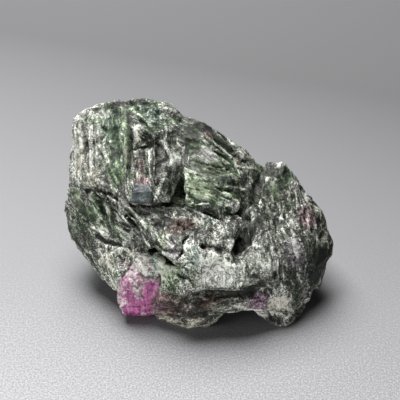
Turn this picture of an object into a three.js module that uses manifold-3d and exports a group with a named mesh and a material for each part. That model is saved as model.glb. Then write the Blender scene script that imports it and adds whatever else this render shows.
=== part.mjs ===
// Ruby in matrix: one broken lump of fibrous green rock with a short magenta
// crystal standing in its lower front left corner. Millimetres, +Z up, the
// lump lies on z = 0 with its long side along X and its worked-out front
// towards -Y. The rock is built the way it broke: angular blocks leaning on
// one another, joined in one solid, then cut by its gaps and cracks.
import * as THREE from 'three';
import { ConvexHull } from 'three/addons/math/ConvexHull.js';
import { ImprovedNoise } from 'three/addons/math/ImprovedNoise.js';
import Module from 'manifold-3d';

const wasm = await Module();
wasm.setup();

// ---------- driving dimensions, mm ----------
const EDGE_FRONT = 4.1;         // longest facet edge where the lump is detailed
const EDGE_HIDDEN = 6.5;        // longest facet edge on the back and underside
const GRAIN_ACROSS = 4.2;       // spacing of the fibre ridges across a block
const GRAIN_ALONG = 16;         // length of a fibre ridge along a block
const GRAIN_HEIGHT = 0.4;       // height of the fibre ridges
const LUMP_SIZE = 7.5;          // size of the soft lumps on every face
const LUMP_HEIGHT = 0.45;       // height of the soft lumps
const CHIP_SIZE = 3.2;          // size of the small chips
const CHIP_HEIGHT = 0.22;       // height of the small chips
const SINK = 1.1;               // how deep a splinter is rooted in its block
const CENTRE = [-0.48, 1.44];   // middle of the finished lump's outline, x and y
const SOCKET_GAP = 0.3;         // clearance all round the set crystal

// ---------- corner points of the blocks, mm ----------
// every block is the convex lump over its corners; 'fibre' is the direction
// its grain runs in
const BLOCKS = [
  { // inner lump: hidden back, ends and underside
    name: 'core',
    fibre: [1, 0.2, 0.1],
    corners: [
      [-19, 3, -1], [-15, 16, -1], [0, 19, -1], [12, 16, -1], [14, 2, -1], [-2, -4, -1],
      [-30, 6, 14], [-27, 17, 13], [-10, 24, 14], [12, 20, 12], [25, 8, 10],
      [26, -4, 11], [15, -11, 12], [0, -14, 12], [-14, -8, 10], [-25, -1, 10],
      [-25, 16, 26], [-8, 21, 31], [6, 17, 28], [15.2, 13, 24.4], [24, 12, 17],
      [14, 6, 20.5], [9, -2, 15], [-5, -4, 18], [-20, 2, 17],
    ],
  },
  { // high block, back left
    name: 'crown',
    fibre: [0.05, -1, -0.55],
    corners: [
      [-31.9, 18.6, 34.4], [-28.2, 20.6, 35], [-24, 22, 36.6], [-20, 21.7, 38.2],
      [-15, 21.7, 38.6], [-12, 20.3, 38.2], [-7, 20.4, 37.4], [-4.6, 18, 35.4],
      [-28, 4, 24.6], [-20, 0, 24.8], [-14, -3.2, 25], [-7, -3.5, 25.2],
      [-4.4, 2.5, 28], [-32.4, 10, 24.4], [-33.6, 6, 19.5], [-30, 4, 17],
      [-28, 22, 26], [-20, 25, 20], [-5, 23, 24], [-8, 2, 20],
    ],
  },
  { // long wedge falling to the right from the crown
    name: 'roof',
    fibre: [1, -0.15, -0.55],
    corners: [
      [-6, 18.5, 35.8], [-1, 17, 35], [1, 16.5, 34.6], [7, 15.5, 30.6],
      [11, 14, 27.6], [14, 12.8, 25.6], [15, 10, 23.6],
      [-4, -3.5, 25.4], [1, -5, 23.6], [4.8, -5.2, 21.8], [9.4, -0.6, 21.6],
      [12, 4, 22.6], [-2, 22, 26], [8, 20, 20], [0, 0, 16], [11, 5, 14],
    ],
  },
  { // right hand block
    name: 'shoulder',
    fibre: [0.35, -1, -0.8],
    corners: [
      [16.4, 9.5, 27.2], [20, 9.2, 27.3], [22.3, 7.4, 26.4], [23.8, 6.4, 24.3],
      [26, 4.8, 22.2], [28.4, 4.2, 19.6], [30.6, 3, 16.5], [32, 0, 14.2],
      [33.6, -3, 12.3], [33.3, -5.5, 10], [31, -8, 7], [29.4, -10, 3.5],
      [16, 4, 25], [14.6, 0, 22], [14, -4, 19.5], [16, -10, 17.6],
      [20, -13, 14.5], [24, -15.6, 9.4], [26, -13.5, 5],
      [26, -0.4, 21.2], [25.4, -5.4, 17.6], [25.6, -9.6, 14.6],
      [20, 14, 18], [26, 10, 12], [18, 8, 4], [22, -6, 2],
    ],
  },
  { // slope between the channel and the pale face
    name: 'saddle',
    fibre: [0.35, -1, -0.8],
    corners: [
      [12.8, 1, 19.2], [16, 2, 21], [12.6, -6, 18], [12.8, -11.4, 17.6], [16, -10.8, 17.8],
      [17, -4, 19.6], [12.5, 0, 12], [17, 0, 12], [12.5, -10, 12], [17, -10, 12],
    ],
  },
  { // upper half of the lower left side, under the crown
    name: 'flank_high',
    fibre: [0.75, -1, -0.9],
    corners: [
      [-28.8, 4, 22.6], [-23.1, 3.4, 21.6], [-19.4, 0.4, 20.3], [-14.8, -5.6, 17.8],
      [-11.6, -9.5, 16], [-33.8, 5, 18.6], [-34.3, 3, 15], [-32.6, -0.4, 10.6],
      [-30, -3.4, 8.8], [-26, -4.6, 14], [-21.5, -8, 13.4], [-16, -9.6, 13.2],
      [-22, 0, 4], [-28, 8, 7], [-12, 4, 14], [-30, 12, 16],
    ],
  },
  { // lower half of the lower left side
    name: 'flank_low',
    fibre: [0.9, -1, -0.8],
    corners: [
      [-27.2, -4, 13.6], [-21.8, -7.4, 14.6], [-18.2, -9.5, 14.7], [-13.3, -11.9, 15],
      [-8.9, -13.8, 15.2], [-30, -3, 9.4], [-28.4, -5, 7.6], [-25, -8.8, 5.6],
      [-21.4, -12.6, 4.6], [-18.6, -14.4, 8.6], [-11, -15, 10.6], [-22, -2, 2.5],
      [-13, -8, 1.5], [-27, 4, 6], [-11, -14.6, 2], [-10, 0, 12],
    ],
  },
  { // brow of rock lapping over the set crystal's upper left corner
    name: 'brow',
    fibre: [0.9, -1, -0.8],
    corners: [
      [-20.7, -13.2, 12.3], [-20.2, -15.6, 10.2], [-18.2, -15.2, 12.1], [-16.7, -13.2, 13.4],
      [-16.8, -10.6, 14.2], [-19.8, -11, 13.6], [-21.4, -12, 9.5], [-20.6, -13.6, 7.4],
      [-19, -9, 9], [-16.6, -9, 11.5],
    ],
  },
  { // cheek of rock between the set crystal and the pale face
    name: 'cheek',
    fibre: [0.9, -1, -0.8],
    corners: [
      [-9.2, -14, 14.6], [-5.2, -16.2, 15], [-1.6, -18, 14.6], [1.2, -19.7, 13.3],
      [-3.4, -21, 11.6], [-9.2, -18.4, 9.6], [-8.6, -16, 5], [-7, -9, 8], [0, -12, 9],
    ],
  },
  { // terrace in front of the crown and the roof
    name: 'terrace',
    fibre: [0.2, -1, -0.35],
    corners: [
      [-18, -2.9, 23.2], [-13.9, -8.8, 21.3], [-10.9, -12.5, 20.1], [-8.1, -14.8, 19],
      [-4.7, -16.7, 17.6], [1, -16, 17.2], [5, -14.4, 17.8], [8, -12.6, 18.2],
      [10, -8, 18.6], [-4, -2, 23.4], [3, -4, 22.4], [10, -3, 20], [-14, -2, 23.4],
      [-12, -6, 14], [0, -12, 10], [7, -8, 12],
    ],
  },
  { // pale cleavage face in front of the terrace
    name: 'apron',
    fibre: [0.05, -1, -1],
    corners: [
      [-4, -13, 19.6], [1, -13.6, 18.8], [5, -14.6, 18.2], [9, -14.4, 17.4],
      [12.2, -11.4, 17.4], [15.6, -10.6, 17.2], [19, -12, 15], [22.4, -13.8, 12.2],
      [-3.4, -21, 12.6], [1.6, -20.3, 12.2], [6, -19.6, 12.6], [10.2, -18.8, 12.9],
      [14.6, -17.6, 12.9], [18.4, -16.9, 11.2], [22, -16.6, 9], [0, -5, 12], [14, -5, 12],
      [0, -17, 10], [14, -14, 10],
    ],
  },
  { // darker broken front, set back under the pale face
    name: 'sill',
    fibre: [1, 0, 0.15],
    corners: [
      [-9, -16, 11.5], [-3, -18, 11], [2, -17.6, 10.8], [8, -16.8, 11.4],
      [15, -15, 11.6], [20, -14, 10], [-9.6, -18.8, 8.2], [-3.6, -21.4, 8.2],
      [2.6, -20.8, 7.8], [9, -19.6, 8.8], [15, -18.4, 9], [-11.4, -18.8, 4.2],
      [-3, -22.3, 4.4], [3, -21.4, 4.4], [10, -19.8, 4.8], [18, -19.2, 4.6],
      [-8, -10, 2.5], [15, -10, 2.5],
    ],
  },
  { // left foot
    name: 'foot_left',
    fibre: [1, 0, 0.2],
    corners: [
      [-11, -18.5, 1.5], [-8.6, -19.2, -0.5], [-6.6, -20.4, -0.5], [-3, -21.8, -0.5],
      [0.4, -20.8, -0.5], [1.8, -17.4, -0.5], [-6, -12, -0.5], [-11, -19, 6],
      [4.6, -20.2, 3], [7.6, -19.8, 4.8], [3, -20.8, 6.4], [-9, -8, 8], [4, -8, 8],
    ],
  },
  { // right foot
    name: 'foot_right',
    fibre: [0.4, -1, -0.5],
    corners: [
      [18, -18.8, -0.5], [20.6, -20.8, -0.5], [24, -18.8, -0.5], [26, -14.8, -0.5],
      [27.5, -13, 3], [20, -11, -0.5], [14.6, -18.6, 2.6], [11, -18.8, 5.4],
      [14, -18, 8], [19.6, -17.4, 10], [25, -14.8, 9.4], [15, -9, 9],
      [28.6, -10, 6], [22, -4, 3], [25.8, -10, 13.4],
    ],
  },
  { // broad slab over the hidden back
    name: 'back_slab',
    fibre: [1, 0.3, 0.4],
    corners: [
      [-24, 20, 30], [-6, 22.4, 33], [2, 19.6, 29], [-26, 21, 20], [-8, 25, 18],
      [6, 21.6, 16], [-20, 19, 9], [4, 20, 8], [-14, 14, 20],
    ],
  },
  { // step low on the hidden back
    name: 'back_step',
    fibre: [1, -0.2, 0.2],
    corners: [
      [4, 20.5, 18], [16, 15.4, 19.6], [26.4, 10.6, 15], [20, 16.6, 8], [6, 21.4, 7],
      [12, 15.6, 1.5], [24, 9, 5], [10, 10, 12],
    ],
  },
];

// ---------- gaps cut out of the joined blocks, mm ----------
const GAPS = [
  { // dark recess between the crown and the roof
    name: 'recess',
    corners: [
      [-5.2, 8.6, 34], [-3.4, 6.4, 33], [-2.8, 1, 31], [-4, -4, 28], [-8.6, -3.6, 27.4],
      [-9.6, 2.6, 31], [-5.4, 5.4, 24.5], [-3.8, 3, 23.5], [-4.2, -2.4, 22],
      [-6.4, -2.6, 22.4], [-7.8, 0.5, 25.4],
    ],
  },
  { // channel between the roof and the shoulder
    name: 'channel',
    corners: [
      [13.7, 10, 28], [15.6, 10, 28], [10.8, 1, 26], [14, 1, 26],
      [14.2, 7, 22], [12.2, 2, 18], [11, -6, 15.8], [9.6, -9, 22], [12.4, -9, 22],
    ],
  },
  { // hollow at the foot of the channel
    name: 'hollow',
    corners: [
      [8.6, -8, 21], [10.4, -4, 21], [12.8, -6.4, 20.4], [12.6, -10.6, 19.5], [10, -14.4, 19.5],
      [8, -13.6, 19.5], [9.4, -5, 14.4], [8, -8.6, 14.2], [11, -8, 14], [8.8, -15.2, 16.6],
    ],
  },
];

// ---------- splinters and furrows lying along the fibre of a block ----------
// each row: from x, y, to x, y, width, height in mm; a negative height is a
// furrow cut that deep
const SPLINTERS = {
  crown: [
    [-30.4, 17, -30.6, 8, 1.6, 0.8],
    [-26, 18.5, -24.8, 5.5, 2.2, 1],
    [-28.2, 16, -28, 6, 1.2, -0.8],
    [-21.6, 17, -19.6, 5, 3.6, -1],
    [-18.6, 19, -17.6, 1.5, 1.7, 1.1],
    [-14.8, 9.6, -14.4, 4.4, 2, 0.9],
    [-12.8, 10, -12.8, 0, 1.3, -0.9],
    [-11.2, 12.5, -10.6, 0.2, 1.5, 1.2],
    [-18, 19.6, -12.4, 14.6, 1.3, 0.9],
    [-16.6, 17.4, -11.6, 11.4, 1.2, 0.8],
    [-8.4, 15, -7.8, 7, 1.8, 0.9],
    [-9.4, 13.4, -9.6, 7.4, 1.6, -1.2],
    [-16.4, 14.6, -15.6, 7.4, 1.4, -0.8],
    [-23.4, 9, -21.4, 1.6, 1.5, 0.8],
  ],
  roof: [
    [-3.6, 7.6, 9.2, 9, 1.8, 0.9],
    [-3.4, 5.4, 11, 8, 1.1, -0.6],
    [3, 3.4, 10.4, 5.8, 3.2, 0.8],
    [3.2, 1.4, 9.6, 3, 1.2, -0.7],
    [-2.6, -1.2, 3.4, -1.4, 4, 0.9],
    [-2.4, -3.2, 4.4, -4.2, 1.6, 0.6],
    [0.6, 15, 8.4, 12.2, 2.2, 0.8],
    [6.8, 14.4, 13.4, 11.6, 2, 0.8],
    [1.8, 10.6, 8.6, 9.8, 1.3, -0.7],
    [-3.8, 12.4, 2.8, 11.6, 2.4, 0.7],
    [6.2, -0.6, 8.8, -0.8, 1.8, 1],
  ],
  shoulder: [
    [16.6, 5.4, 15.6, -2, 1.6, 0.9],
    [19.4, 8.6, 21.2, 7.6, 2.6, 1],
    [18.6, 3.6, 18, -4.6, 1.5, -0.7],
    [20.6, -1.4, 24.6, -8, 1.8, 0.9],
    [23, 3.6, 25.2, -3.4, 1.6, 0.8],
    [25.8, 1.6, 26.4, -3.6, 1.4, -0.9],
    [17, -4, 19.4, -11.4, 1.7, 0.8],
    [21.4, -7, 23.4, -13, 1.3, -0.7],
    [28.6, -1.4, 28, -8, 1.5, 0.8],
    [30.6, -2.4, 29.6, -7.4, 1.2, -0.6],
  ],
  flank_high: [
    [-31.4, 5, -31.6, -0.6, 1.6, 0.8],
    [-28, 3, -26.6, -3.4, 1.8, 0.9],
    [-25, 2, -20.6, -6.4, 1.6, -0.8],
    [-22, 2, -17.4, -7.2, 1.5, 0.9],
    [-18.4, -2, -13.8, -8.6, 1.3, 0.8],
  ],
  flank_low: [
    [-29, -4, -25.4, -6.4, 1.8, 0.8],
    [-24, -7, -20.4, -11.4, 2, 0.9],
    [-20.6, -8.6, -17, -12.6, 1.6, -0.8],
    [-16.2, -11.2, -12.6, -13.8, 2, 0.8],
    [-12.4, -12.6, -8.8, -14.8, 1.8, 0.9],
  ],
  terrace: [
    [-15.6, -4.6, -8.8, -12.8, 1.3, 0.7],
    [-13.2, -4.4, -6.6, -12.6, 1.2, -0.7],
    [-9.6, -5.4, -7.4, -9.4, 2.2, 0.9],
    [-6.4, -7.4, -2.6, -9.2, 2.2, -0.9],
    [1.6, -5.2, 2.4, -10, 1.8, 0.8],
    [5.4, -6, 5.8, -11, 2.2, 0.9],
    [8.4, -5, 8.4, -9.4, 1.6, 0.8],
  ],
  apron: [
    [4, -15, 4.2, -19.4, 1.4, -0.35],
    [11, -13, 11.2, -18.6, 1.6, 0.4],
    [16.4, -11.6, 16.8, -16.2, 1.5, 0.5],
  ],
};

// thin plates standing side by side over the long seam, corner to corner, mm
const SEAM_PLATES = {
  path: [[-25, 4.6, 25.4], [-18.4, -2.4, 24], [-13.4, -8.2, 22.1], [-7.8, -14.4, 19.6]],
  step: [-0.75, -0.55, -0.75],  // from one plate to the next
  count: 3,
  width: 0.8,
  height: 0.75,
};

// the long seam itself: a gap running down under the plates, mm
const SEAM = {
  path: [
    [-29, 3, 22.8], [-23.4, 2.6, 22], [-19.8, -0.4, 21], [-14.6, -7.4, 18.6],
    [-11.4, -11, 17.2], [-8.2, -13.8, 15.8], [-5, -16.4, 14.8], [0.6, -18.2, 14.2],
  ],
  mouth: [1, 1.1, 1.1, 1.2, 1.2, 1.1, 0.9, 0.4],
  depth: [2, 2.6, 3, 2.8, 2.2, 1.8, 1.6, 1.2],
  inward: [0.35, 0.85, -0.05],  // direction the gap runs into the rock
};

// ---------- the set crystal, mm ----------
// a six sided stub standing nearly upright, one broad side to the front
const CRYSTAL = {
  section: [                    // corners of the six sided section, x across, y deep
    [-4.2, -3.6], [4.1, -3.9], [5.8, -0.4], [3.4, 2.4], [-1.6, 2.2], [-5.5, -0.8],
  ],
  foot: [-14.7, -14.6, 0.8],    // middle of the lower end
  height: 11.2,                 // length along the upright axis
  lean: 14,                     // degrees the axis leans back
  tilt: 3,                      // degrees the axis leans to the right
  top_slope: 0.85,              // rise of the sloping upper end per mm of depth
  bevel: 1.1,                   // broken edge round the lower end
};

// small blue-grey crystal standing in the front edge of the crown: its
// corners, mm, and a point inside it
const GRAIN = {
  corners: [
    [-16.4, -3.2, 24.6], [-11.7, -3.5, 24.4], [-16.2, -2.8, 27.5], [-11.6, -2.7, 27.9],
    [-15.6, -0.6, 28.2], [-12.3, -0.7, 28.5], [-15.7, 0, 24.8], [-12.1, 0, 24.8],
    [-13.8, -3.8, 25.6],
  ],
  middle: [-14, -1.8, 26.2],
};

// ---------- helpers ----------
const vec = (p) => new THREE.Vector3(p[0], p[1], p[2]);

// planes of the convex lump over a list of corners
function hullPlanes(corners) {
  const hull = new ConvexHull().setFromPoints(corners.map(vec));
  return hull.faces.map((f) => ({ normal: f.normal.clone(), constant: f.constant }));
}

// triangles [a, b, c] of the convex lump over a list of corners
function hullTriangles(corners) {
  const hull = new ConvexHull().setFromPoints(corners.map(vec));
  const triangles = [];
  for (const face of hull.faces) {
    const loop = [];
    let edge = face.edge;
    do {
      loop.push(edge.head().point);
      edge = edge.next;
    } while (edge !== face.edge);
    for (let i = 2; i < loop.length; i += 1) triangles.push([loop[0], loop[i - 1], loop[i]]);
  }
  return triangles;
}

// closed solid from triangles that share their corner positions
function solidFrom(triangles) {
  const index = new Map();
  const points = [];
  const tris = [];
  for (const triangle of triangles) {
    for (const p of triangle) {
      const key = `${Math.round(p.x * 1e5)}_${Math.round(p.y * 1e5)}_${Math.round(p.z * 1e5)}`;
      if (!index.has(key)) {
        index.set(key, points.length / 3);
        points.push(p.x, p.y, p.z);
      }
      tris.push(index.get(key));
    }
  }
  const mesh = new wasm.Mesh({
    numProp: 3,
    vertProperties: new Float32Array(points),
    triVerts: new Uint32Array(tris),
  });
  mesh.merge();
  return new wasm.Manifold(mesh);
}

const block = (corners) => solidFrom(hullTriangles(corners));

// point on the upper side of a block over (x, y), and the way out of it there
function topOf(name, x, y) {
  const grain = grains.find((g) => g.name === name);
  let best = Infinity;
  let normal = null;
  for (const plane of grain.planes) {
    const n = plane.normal;
    if (n.z < 0.08) continue;
    const z = (plane.constant - n.x * x - n.y * y) / n.z;
    if (z < best) {
      best = z;
      normal = n;
    }
  }
  return { point: new THREE.Vector3(x, y, best), normal };
}

// long splinter between two points, pointed at both ends
function blade(from, to, up, width, height, sink) {
  const along = to.clone().sub(from);
  const side = along.clone().cross(up).normalize().multiplyScalar(width / 2);
  const rise = up.clone().normalize();
  const corners = [];
  const add = (t, s, h) => {
    const p = from.clone().addScaledVector(along, t).addScaledVector(side, s);
    corners.push(p.addScaledVector(rise, h).toArray());
  };
  add(0, 0, height * 0.1);
  add(1, 0, height * 0.05);
  for (const t of [0.22, 0.7]) {
    add(t, -1, 0);
    add(t, 1, height * 0.15);
    add(t, 0.25, height);
    add(t, 0, -sink);
  }
  return block(corners);
}

// the splinters or furrows of every block
function splinters(wanted) {
  const solids = [];
  for (const [name, rows] of Object.entries(SPLINTERS)) {
    for (const [x1, y1, x2, y2, width, height] of rows) {
      if (Math.sign(height) !== wanted) continue;
      const a = topOf(name, x1, y1);
      const b = topOf(name, x2, y2);
      const up = a.normal.clone().add(b.normal).normalize();
      if (wanted > 0) solids.push(blade(a.point, b.point, up, width, height, SINK));
      else solids.push(blade(a.point, b.point, up, width, 0.9, -height));
    }
  }
  return solids;
}

// the thin plates standing over the long seam
function seamPlates() {
  const solids = [];
  const up = new THREE.Vector3(-0.35, -0.45, 0.8).normalize();
  for (let i = 0; i < SEAM_PLATES.count; i += 1) {
    const shift = vec(SEAM_PLATES.step).multiplyScalar(i);
    const path = SEAM_PLATES.path.map((p) => vec(p).add(shift));
    for (let k = 1; k < path.length; k += 1) {
      const reach = path[k].clone().sub(path[k - 1]).multiplyScalar(0.12);
      const from = path[k - 1].clone().sub(reach);
      const to = path[k].clone().add(reach);
      solids.push(blade(from, to, up, SEAM_PLATES.width, SEAM_PLATES.height, 1.6));
    }
  }
  return solids;
}

// the long seam, one wedge from each corner of its path to the next
function seamWedges() {
  const solids = [];
  const inward = vec(SEAM.inward).normalize();
  const out = inward.clone().multiplyScalar(-2.5);
  for (let k = 1; k < SEAM.path.length; k += 1) {
    const corners = [];
    for (const i of [k - 1, k]) {
      const p = vec(SEAM.path[i]);
      corners.push(p.clone().addScaledVector(inward, SEAM.depth[i]).toArray());
      for (const half of [-0.5, 0.5]) {
        const edge = p.clone().add(out);
        edge.z += half * SEAM.mouth[i] * 1.4;
        corners.push(edge.toArray());
      }
    }
    solids.push(block(corners));
  }
  return solids;
}

// shared-corner form of a solid
function unpack(solid) {
  const mesh = solid.getMesh();
  const points = [];
  for (let i = 0; i < mesh.vertProperties.length; i += mesh.numProp) {
    points.push(new THREE.Vector3().fromArray(mesh.vertProperties, i));
  }
  const tris = [];
  for (let i = 0; i < mesh.triVerts.length; i += 3) {
    tris.push([mesh.triVerts[i], mesh.triVerts[i + 1], mesh.triVerts[i + 2]]);
  }
  return { points, tris };
}

// halve the longest edges until every one is shorter than its limit
function refine(shape, limitAt) {
  const { points } = shape;
  let { tris } = shape;
  for (let round = 0; round < 14; round += 1) {
    const middle = new Map();
    const mark = (a, b) => {
      const key = a < b ? `${a}_${b}` : `${b}_${a}`;
      if (!middle.has(key)) {
        middle.set(key, points.length);
        points.push(points[a].clone().add(points[b]).multiplyScalar(0.5));
      }
    };
    const long = (a, b) => points[a].distanceTo(points[b]);
    for (const t of tris) {
      const sides = [[t[0], t[1]], [t[1], t[2]], [t[2], t[0]]];
      sides.sort((s, r) => long(r[0], r[1]) - long(s[0], s[1]));
      const [a, b] = sides[0];
      const limit = limitAt(points[a].clone().add(points[b]).multiplyScalar(0.5));
      if (long(a, b) > limit) mark(a, b);
    }
    if (middle.size === 0) break;
    const next = [];
    const at = (a, b) => middle.get(a < b ? `${a}_${b}` : `${b}_${a}`);
    const split = (t) => {
      const sides = [0, 1, 2].filter((i) => at(t[i], t[(i + 1) % 3]) !== undefined);
      if (sides.length === 0) {
        next.push(t);
        return;
      }
      sides.sort((i, j) => long(t[j], t[(j + 1) % 3]) - long(t[i], t[(i + 1) % 3]));
      const i = sides[0];
      const a = t[i];
      const b = t[(i + 1) % 3];
      const c = t[(i + 2) % 3];
      const m = at(a, b);
      split([a, m, c]);
      split([m, b, c]);
    };
    tris.forEach(split);
    tris = next;
  }
  return { points, tris };
}

// ---------- rough surface of the broken rock ----------
const perlin = new ImprovedNoise();
const grains = BLOCKS.map((b) => ({
  name: b.name,
  planes: hullPlanes(b.corners),
  fibre: vec(b.fibre).normalize(),
}));

// how far a point is outside a block, mm
function outside(grain, p) {
  let far = -Infinity;
  for (const plane of grain.planes) far = Math.max(far, plane.normal.dot(p) - plane.constant);
  return Math.max(far, 0);
}

// height of the fibre ridges of one block at a point, -1 to 1
function fibreHeight(grain, p, seed) {
  const along = grain.fibre.dot(p);
  const q = p.clone().addScaledVector(grain.fibre, -along).divideScalar(GRAIN_ACROSS);
  q.addScaledVector(grain.fibre, along / GRAIN_ALONG);
  const n = perlin.noise(q.x + seed, q.y + 7.3, q.z + 3.1);
  return 1 - 2.6 * Math.abs(n);
}

function roughness(p) {
  let total = 0;
  let weight = 0;
  grains.forEach((grain, i) => {
    const w = Math.exp(-outside(grain, p) / 0.8);
    if (w < 0.02) return;
    total += w * fibreHeight(grain, p, 11.7 * i);
    weight += w;
  });
  const fibre = weight > 0 ? total / weight : 0;
  const s = LUMP_SIZE;
  const c = CHIP_SIZE;
  const lump = perlin.noise(p.x / s + 5.2, p.y / s + 1.7, p.z / s + 9.4);
  const chip = perlin.noise(p.x / c + 2.6, p.y / c + 8.1, p.z / c + 4.9);
  return GRAIN_HEIGHT * (fibre - 0.35) + LUMP_HEIGHT * 2 * lump + CHIP_HEIGHT * 2 * chip;
}

// push every point in or out along its own normal
function roughen(shape) {
  const { points, tris } = shape;
  const normals = points.map(() => new THREE.Vector3());
  const n = new THREE.Vector3();
  const e = new THREE.Vector3();
  for (const [a, b, c] of tris) {
    n.subVectors(points[b], points[a]).cross(e.subVectors(points[c], points[a]));
    normals[a].add(n);
    normals[b].add(n);
    normals[c].add(n);
  }
  return points.map((p, i) => p.clone().addScaledVector(normals[i].normalize(), roughness(p)));
}

// ---------- rock ----------
function makeRock() {
  let rock = block(BLOCKS[0].corners);
  for (const b of BLOCKS.slice(1)) rock = rock.add(block(b.corners));
  for (const solid of [...seamPlates(), ...splinters(1)]) rock = rock.add(solid);
  for (const solid of [...seamWedges(), ...splinters(-1)]) rock = rock.subtract(solid);
  for (const g of GAPS) rock = rock.subtract(block(g.corners));
  const fine = (p) => (p.y > 16 || p.z < 2 ? EDGE_HIDDEN : EDGE_FRONT);
  const shape = refine(unpack(rock), fine);
  const moved = roughen(shape);
  return solidFrom(shape.tris.map((t) => t.map((i) => moved[i])));
}

// ---------- crystal ----------
function crystalSolid(grow) {
  const c = CRYSTAL;
  const lean = new THREE.Matrix4().makeRotationX(THREE.MathUtils.degToRad(-c.lean));
  const tilt = new THREE.Matrix4().makeRotationY(THREE.MathUtils.degToRad(c.tilt));
  const place = new THREE.Matrix4().makeTranslation(...c.foot).multiply(tilt).multiply(lean);
  const corners = [];
  for (const [x, y] of c.section) {
    const far = Math.hypot(x, y);
    const k = (far + grow) / far;
    const small = (far + grow - c.bevel) / far;
    const top = c.height - 2.6 + c.top_slope * (y + 3.9) + grow;
    corners.push([x * small, y * small, -grow], [x * k, y * k, c.bevel - grow]);
    corners.push([x * k, y * k, top]);
  }
  return block(corners.map((p) => vec(p).applyMatrix4(place).toArray()));
}

// the small crystal, grown by the same clearance on every side
function grainSolid(grow) {
  const middle = vec(GRAIN.middle);
  return block(GRAIN.corners.map((p) => {
    const reach = vec(p).sub(middle);
    const k = 1 + (grow * 1.75) / reach.length();
    return reach.multiplyScalar(k).add(middle).toArray();
  }));
}

// everything below the ground the lump lies on
const ground = block([
  [-60, -60, -30], [60, -60, -30], [60, 60, -30], [-60, 60, -30],
  [-60, -60, 0], [60, -60, 0], [60, 60, 0], [-60, 60, 0],
]);

// the largest piece of a solid: crumbs cut loose by the gaps are dropped
function largest(solid) {
  const pieces = solid.decompose();
  pieces.sort((a, b) => b.volume() - a.volume());
  return pieces[0];
}

const crystal = crystalSolid(0).subtract(ground);
const grain = grainSolid(0);
const sockets = crystalSolid(SOCKET_GAP).add(grainSolid(SOCKET_GAP));
const matrix = largest(makeRock().subtract(ground).subtract(sockets));

// ---------- named pieces ----------
function piece(name, solid, colour, roughness, metalness) {
  const { points, tris } = unpack(solid);
  const geometry = new THREE.BufferGeometry();
  const flat = new Float32Array(points.length * 3);
  points.forEach((p, i) => p.toArray(flat, i * 3));
  geometry.setAttribute('position', new THREE.BufferAttribute(flat, 3));
  geometry.setIndex(tris.flat());
  geometry.computeVertexNormals();
  const material = new THREE.MeshStandardMaterial({ color: colour, roughness, metalness });
  const mesh = new THREE.Mesh(geometry, material);
  mesh.name = name;
  return mesh;
}

const ruby_in_matrix = new THREE.Group();
ruby_in_matrix.name = 'ruby_in_matrix';
ruby_in_matrix.position.set(-CENTRE[0], -CENTRE[1], 0);
ruby_in_matrix.add(piece('matrix', matrix, 0x8f968a, 0.75, 0));
ruby_in_matrix.add(piece('ruby_crystal', crystal, 0xa83c86, 0.45, 0));
ruby_in_matrix.add(piece('blue_crystal', grain, 0x5d6874, 0.5, 0));

export default ruby_in_matrix;
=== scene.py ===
"""Ruby in matrix: the looks of a broken lump of fibrous green rock with a magenta crystal.

The rock is remeshed finely from its CAD solid and splintered along its fibres by
noise written out below. Its colours come from procedural nodes, steered by soft
spots and lines in millimetres from the middle of the CAD model's base.
"""
import math
from collections import namedtuple
from itertools import product

import bmesh
import bpy
import numpy as np
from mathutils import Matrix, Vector


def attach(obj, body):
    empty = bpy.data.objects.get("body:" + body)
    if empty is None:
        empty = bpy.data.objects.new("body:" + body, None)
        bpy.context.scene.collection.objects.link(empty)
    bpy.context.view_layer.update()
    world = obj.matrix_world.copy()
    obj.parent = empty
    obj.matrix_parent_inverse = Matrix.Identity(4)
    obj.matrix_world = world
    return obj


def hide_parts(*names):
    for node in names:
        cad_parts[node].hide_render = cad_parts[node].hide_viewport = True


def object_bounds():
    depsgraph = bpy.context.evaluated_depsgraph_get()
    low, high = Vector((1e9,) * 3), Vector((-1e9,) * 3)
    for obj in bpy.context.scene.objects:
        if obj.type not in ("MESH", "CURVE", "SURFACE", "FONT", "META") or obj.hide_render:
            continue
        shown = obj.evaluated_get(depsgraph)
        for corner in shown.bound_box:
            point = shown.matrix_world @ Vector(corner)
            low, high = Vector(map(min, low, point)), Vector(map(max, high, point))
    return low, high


MM = 0.001

# ---- dimensions, mm
VOXEL = 0.39                # fine rock mesh
CRYSTAL_VOXEL = 0.16        # fine mesh of the two set crystals
WELD = 0.002                # corners nearer than this are one
RIDGE = 0.08                # height of the sharp ridges along the fibre
LUMP = 0.2                  # height of the soft lumps
PIMPLE = 0.1                # height of the finest roughness
RIM_HEIGHT = 0.1            # of the pale rim round a spot
LINE_RAG = 0.5              # how far a painted line strays
SOCKET = 0.25               # how far a crystal grows to fill its socket
CRUST_GRAIN = 0.75          # size of the grains in a crystal's crust
CRUST_HEIGHT = 0.25         # how far the largest of them stands out
CAMERA_TARGET = (0.48, -1.56, 23.0)
CAMERA_DISTANCE = 272.0
CAMERA_LENS = 100.0
CAMERA_SENSOR = 36.0
CAMERA_ELEVATION = 40.0     # degrees
FLOOR_HALF = 1500.0

# painted edges, as shares of the half width
SPOT_RAG = 1.6
LINE_SOFT = 0.4
RIM_WIDTH = 0.22

# splinters: size across and along the fibre, how far one stands off the next, lean
FACET = (3.6, 9.0, 0.2, 0.3)
BLADE = (1.7, 6.5, 0.13, 0.2)
CHIP = (0.8, 2.2, 0.06, 0.11)
CRYSTAL_CHIP = (0.9, 3.0, 0.05, 0.12)
LONG_RIDGE = (7.0, 1.7, 1.7)        # along and across the fibre
SHORT_RIDGE = (4.0, 0.8, 0.8)

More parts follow.
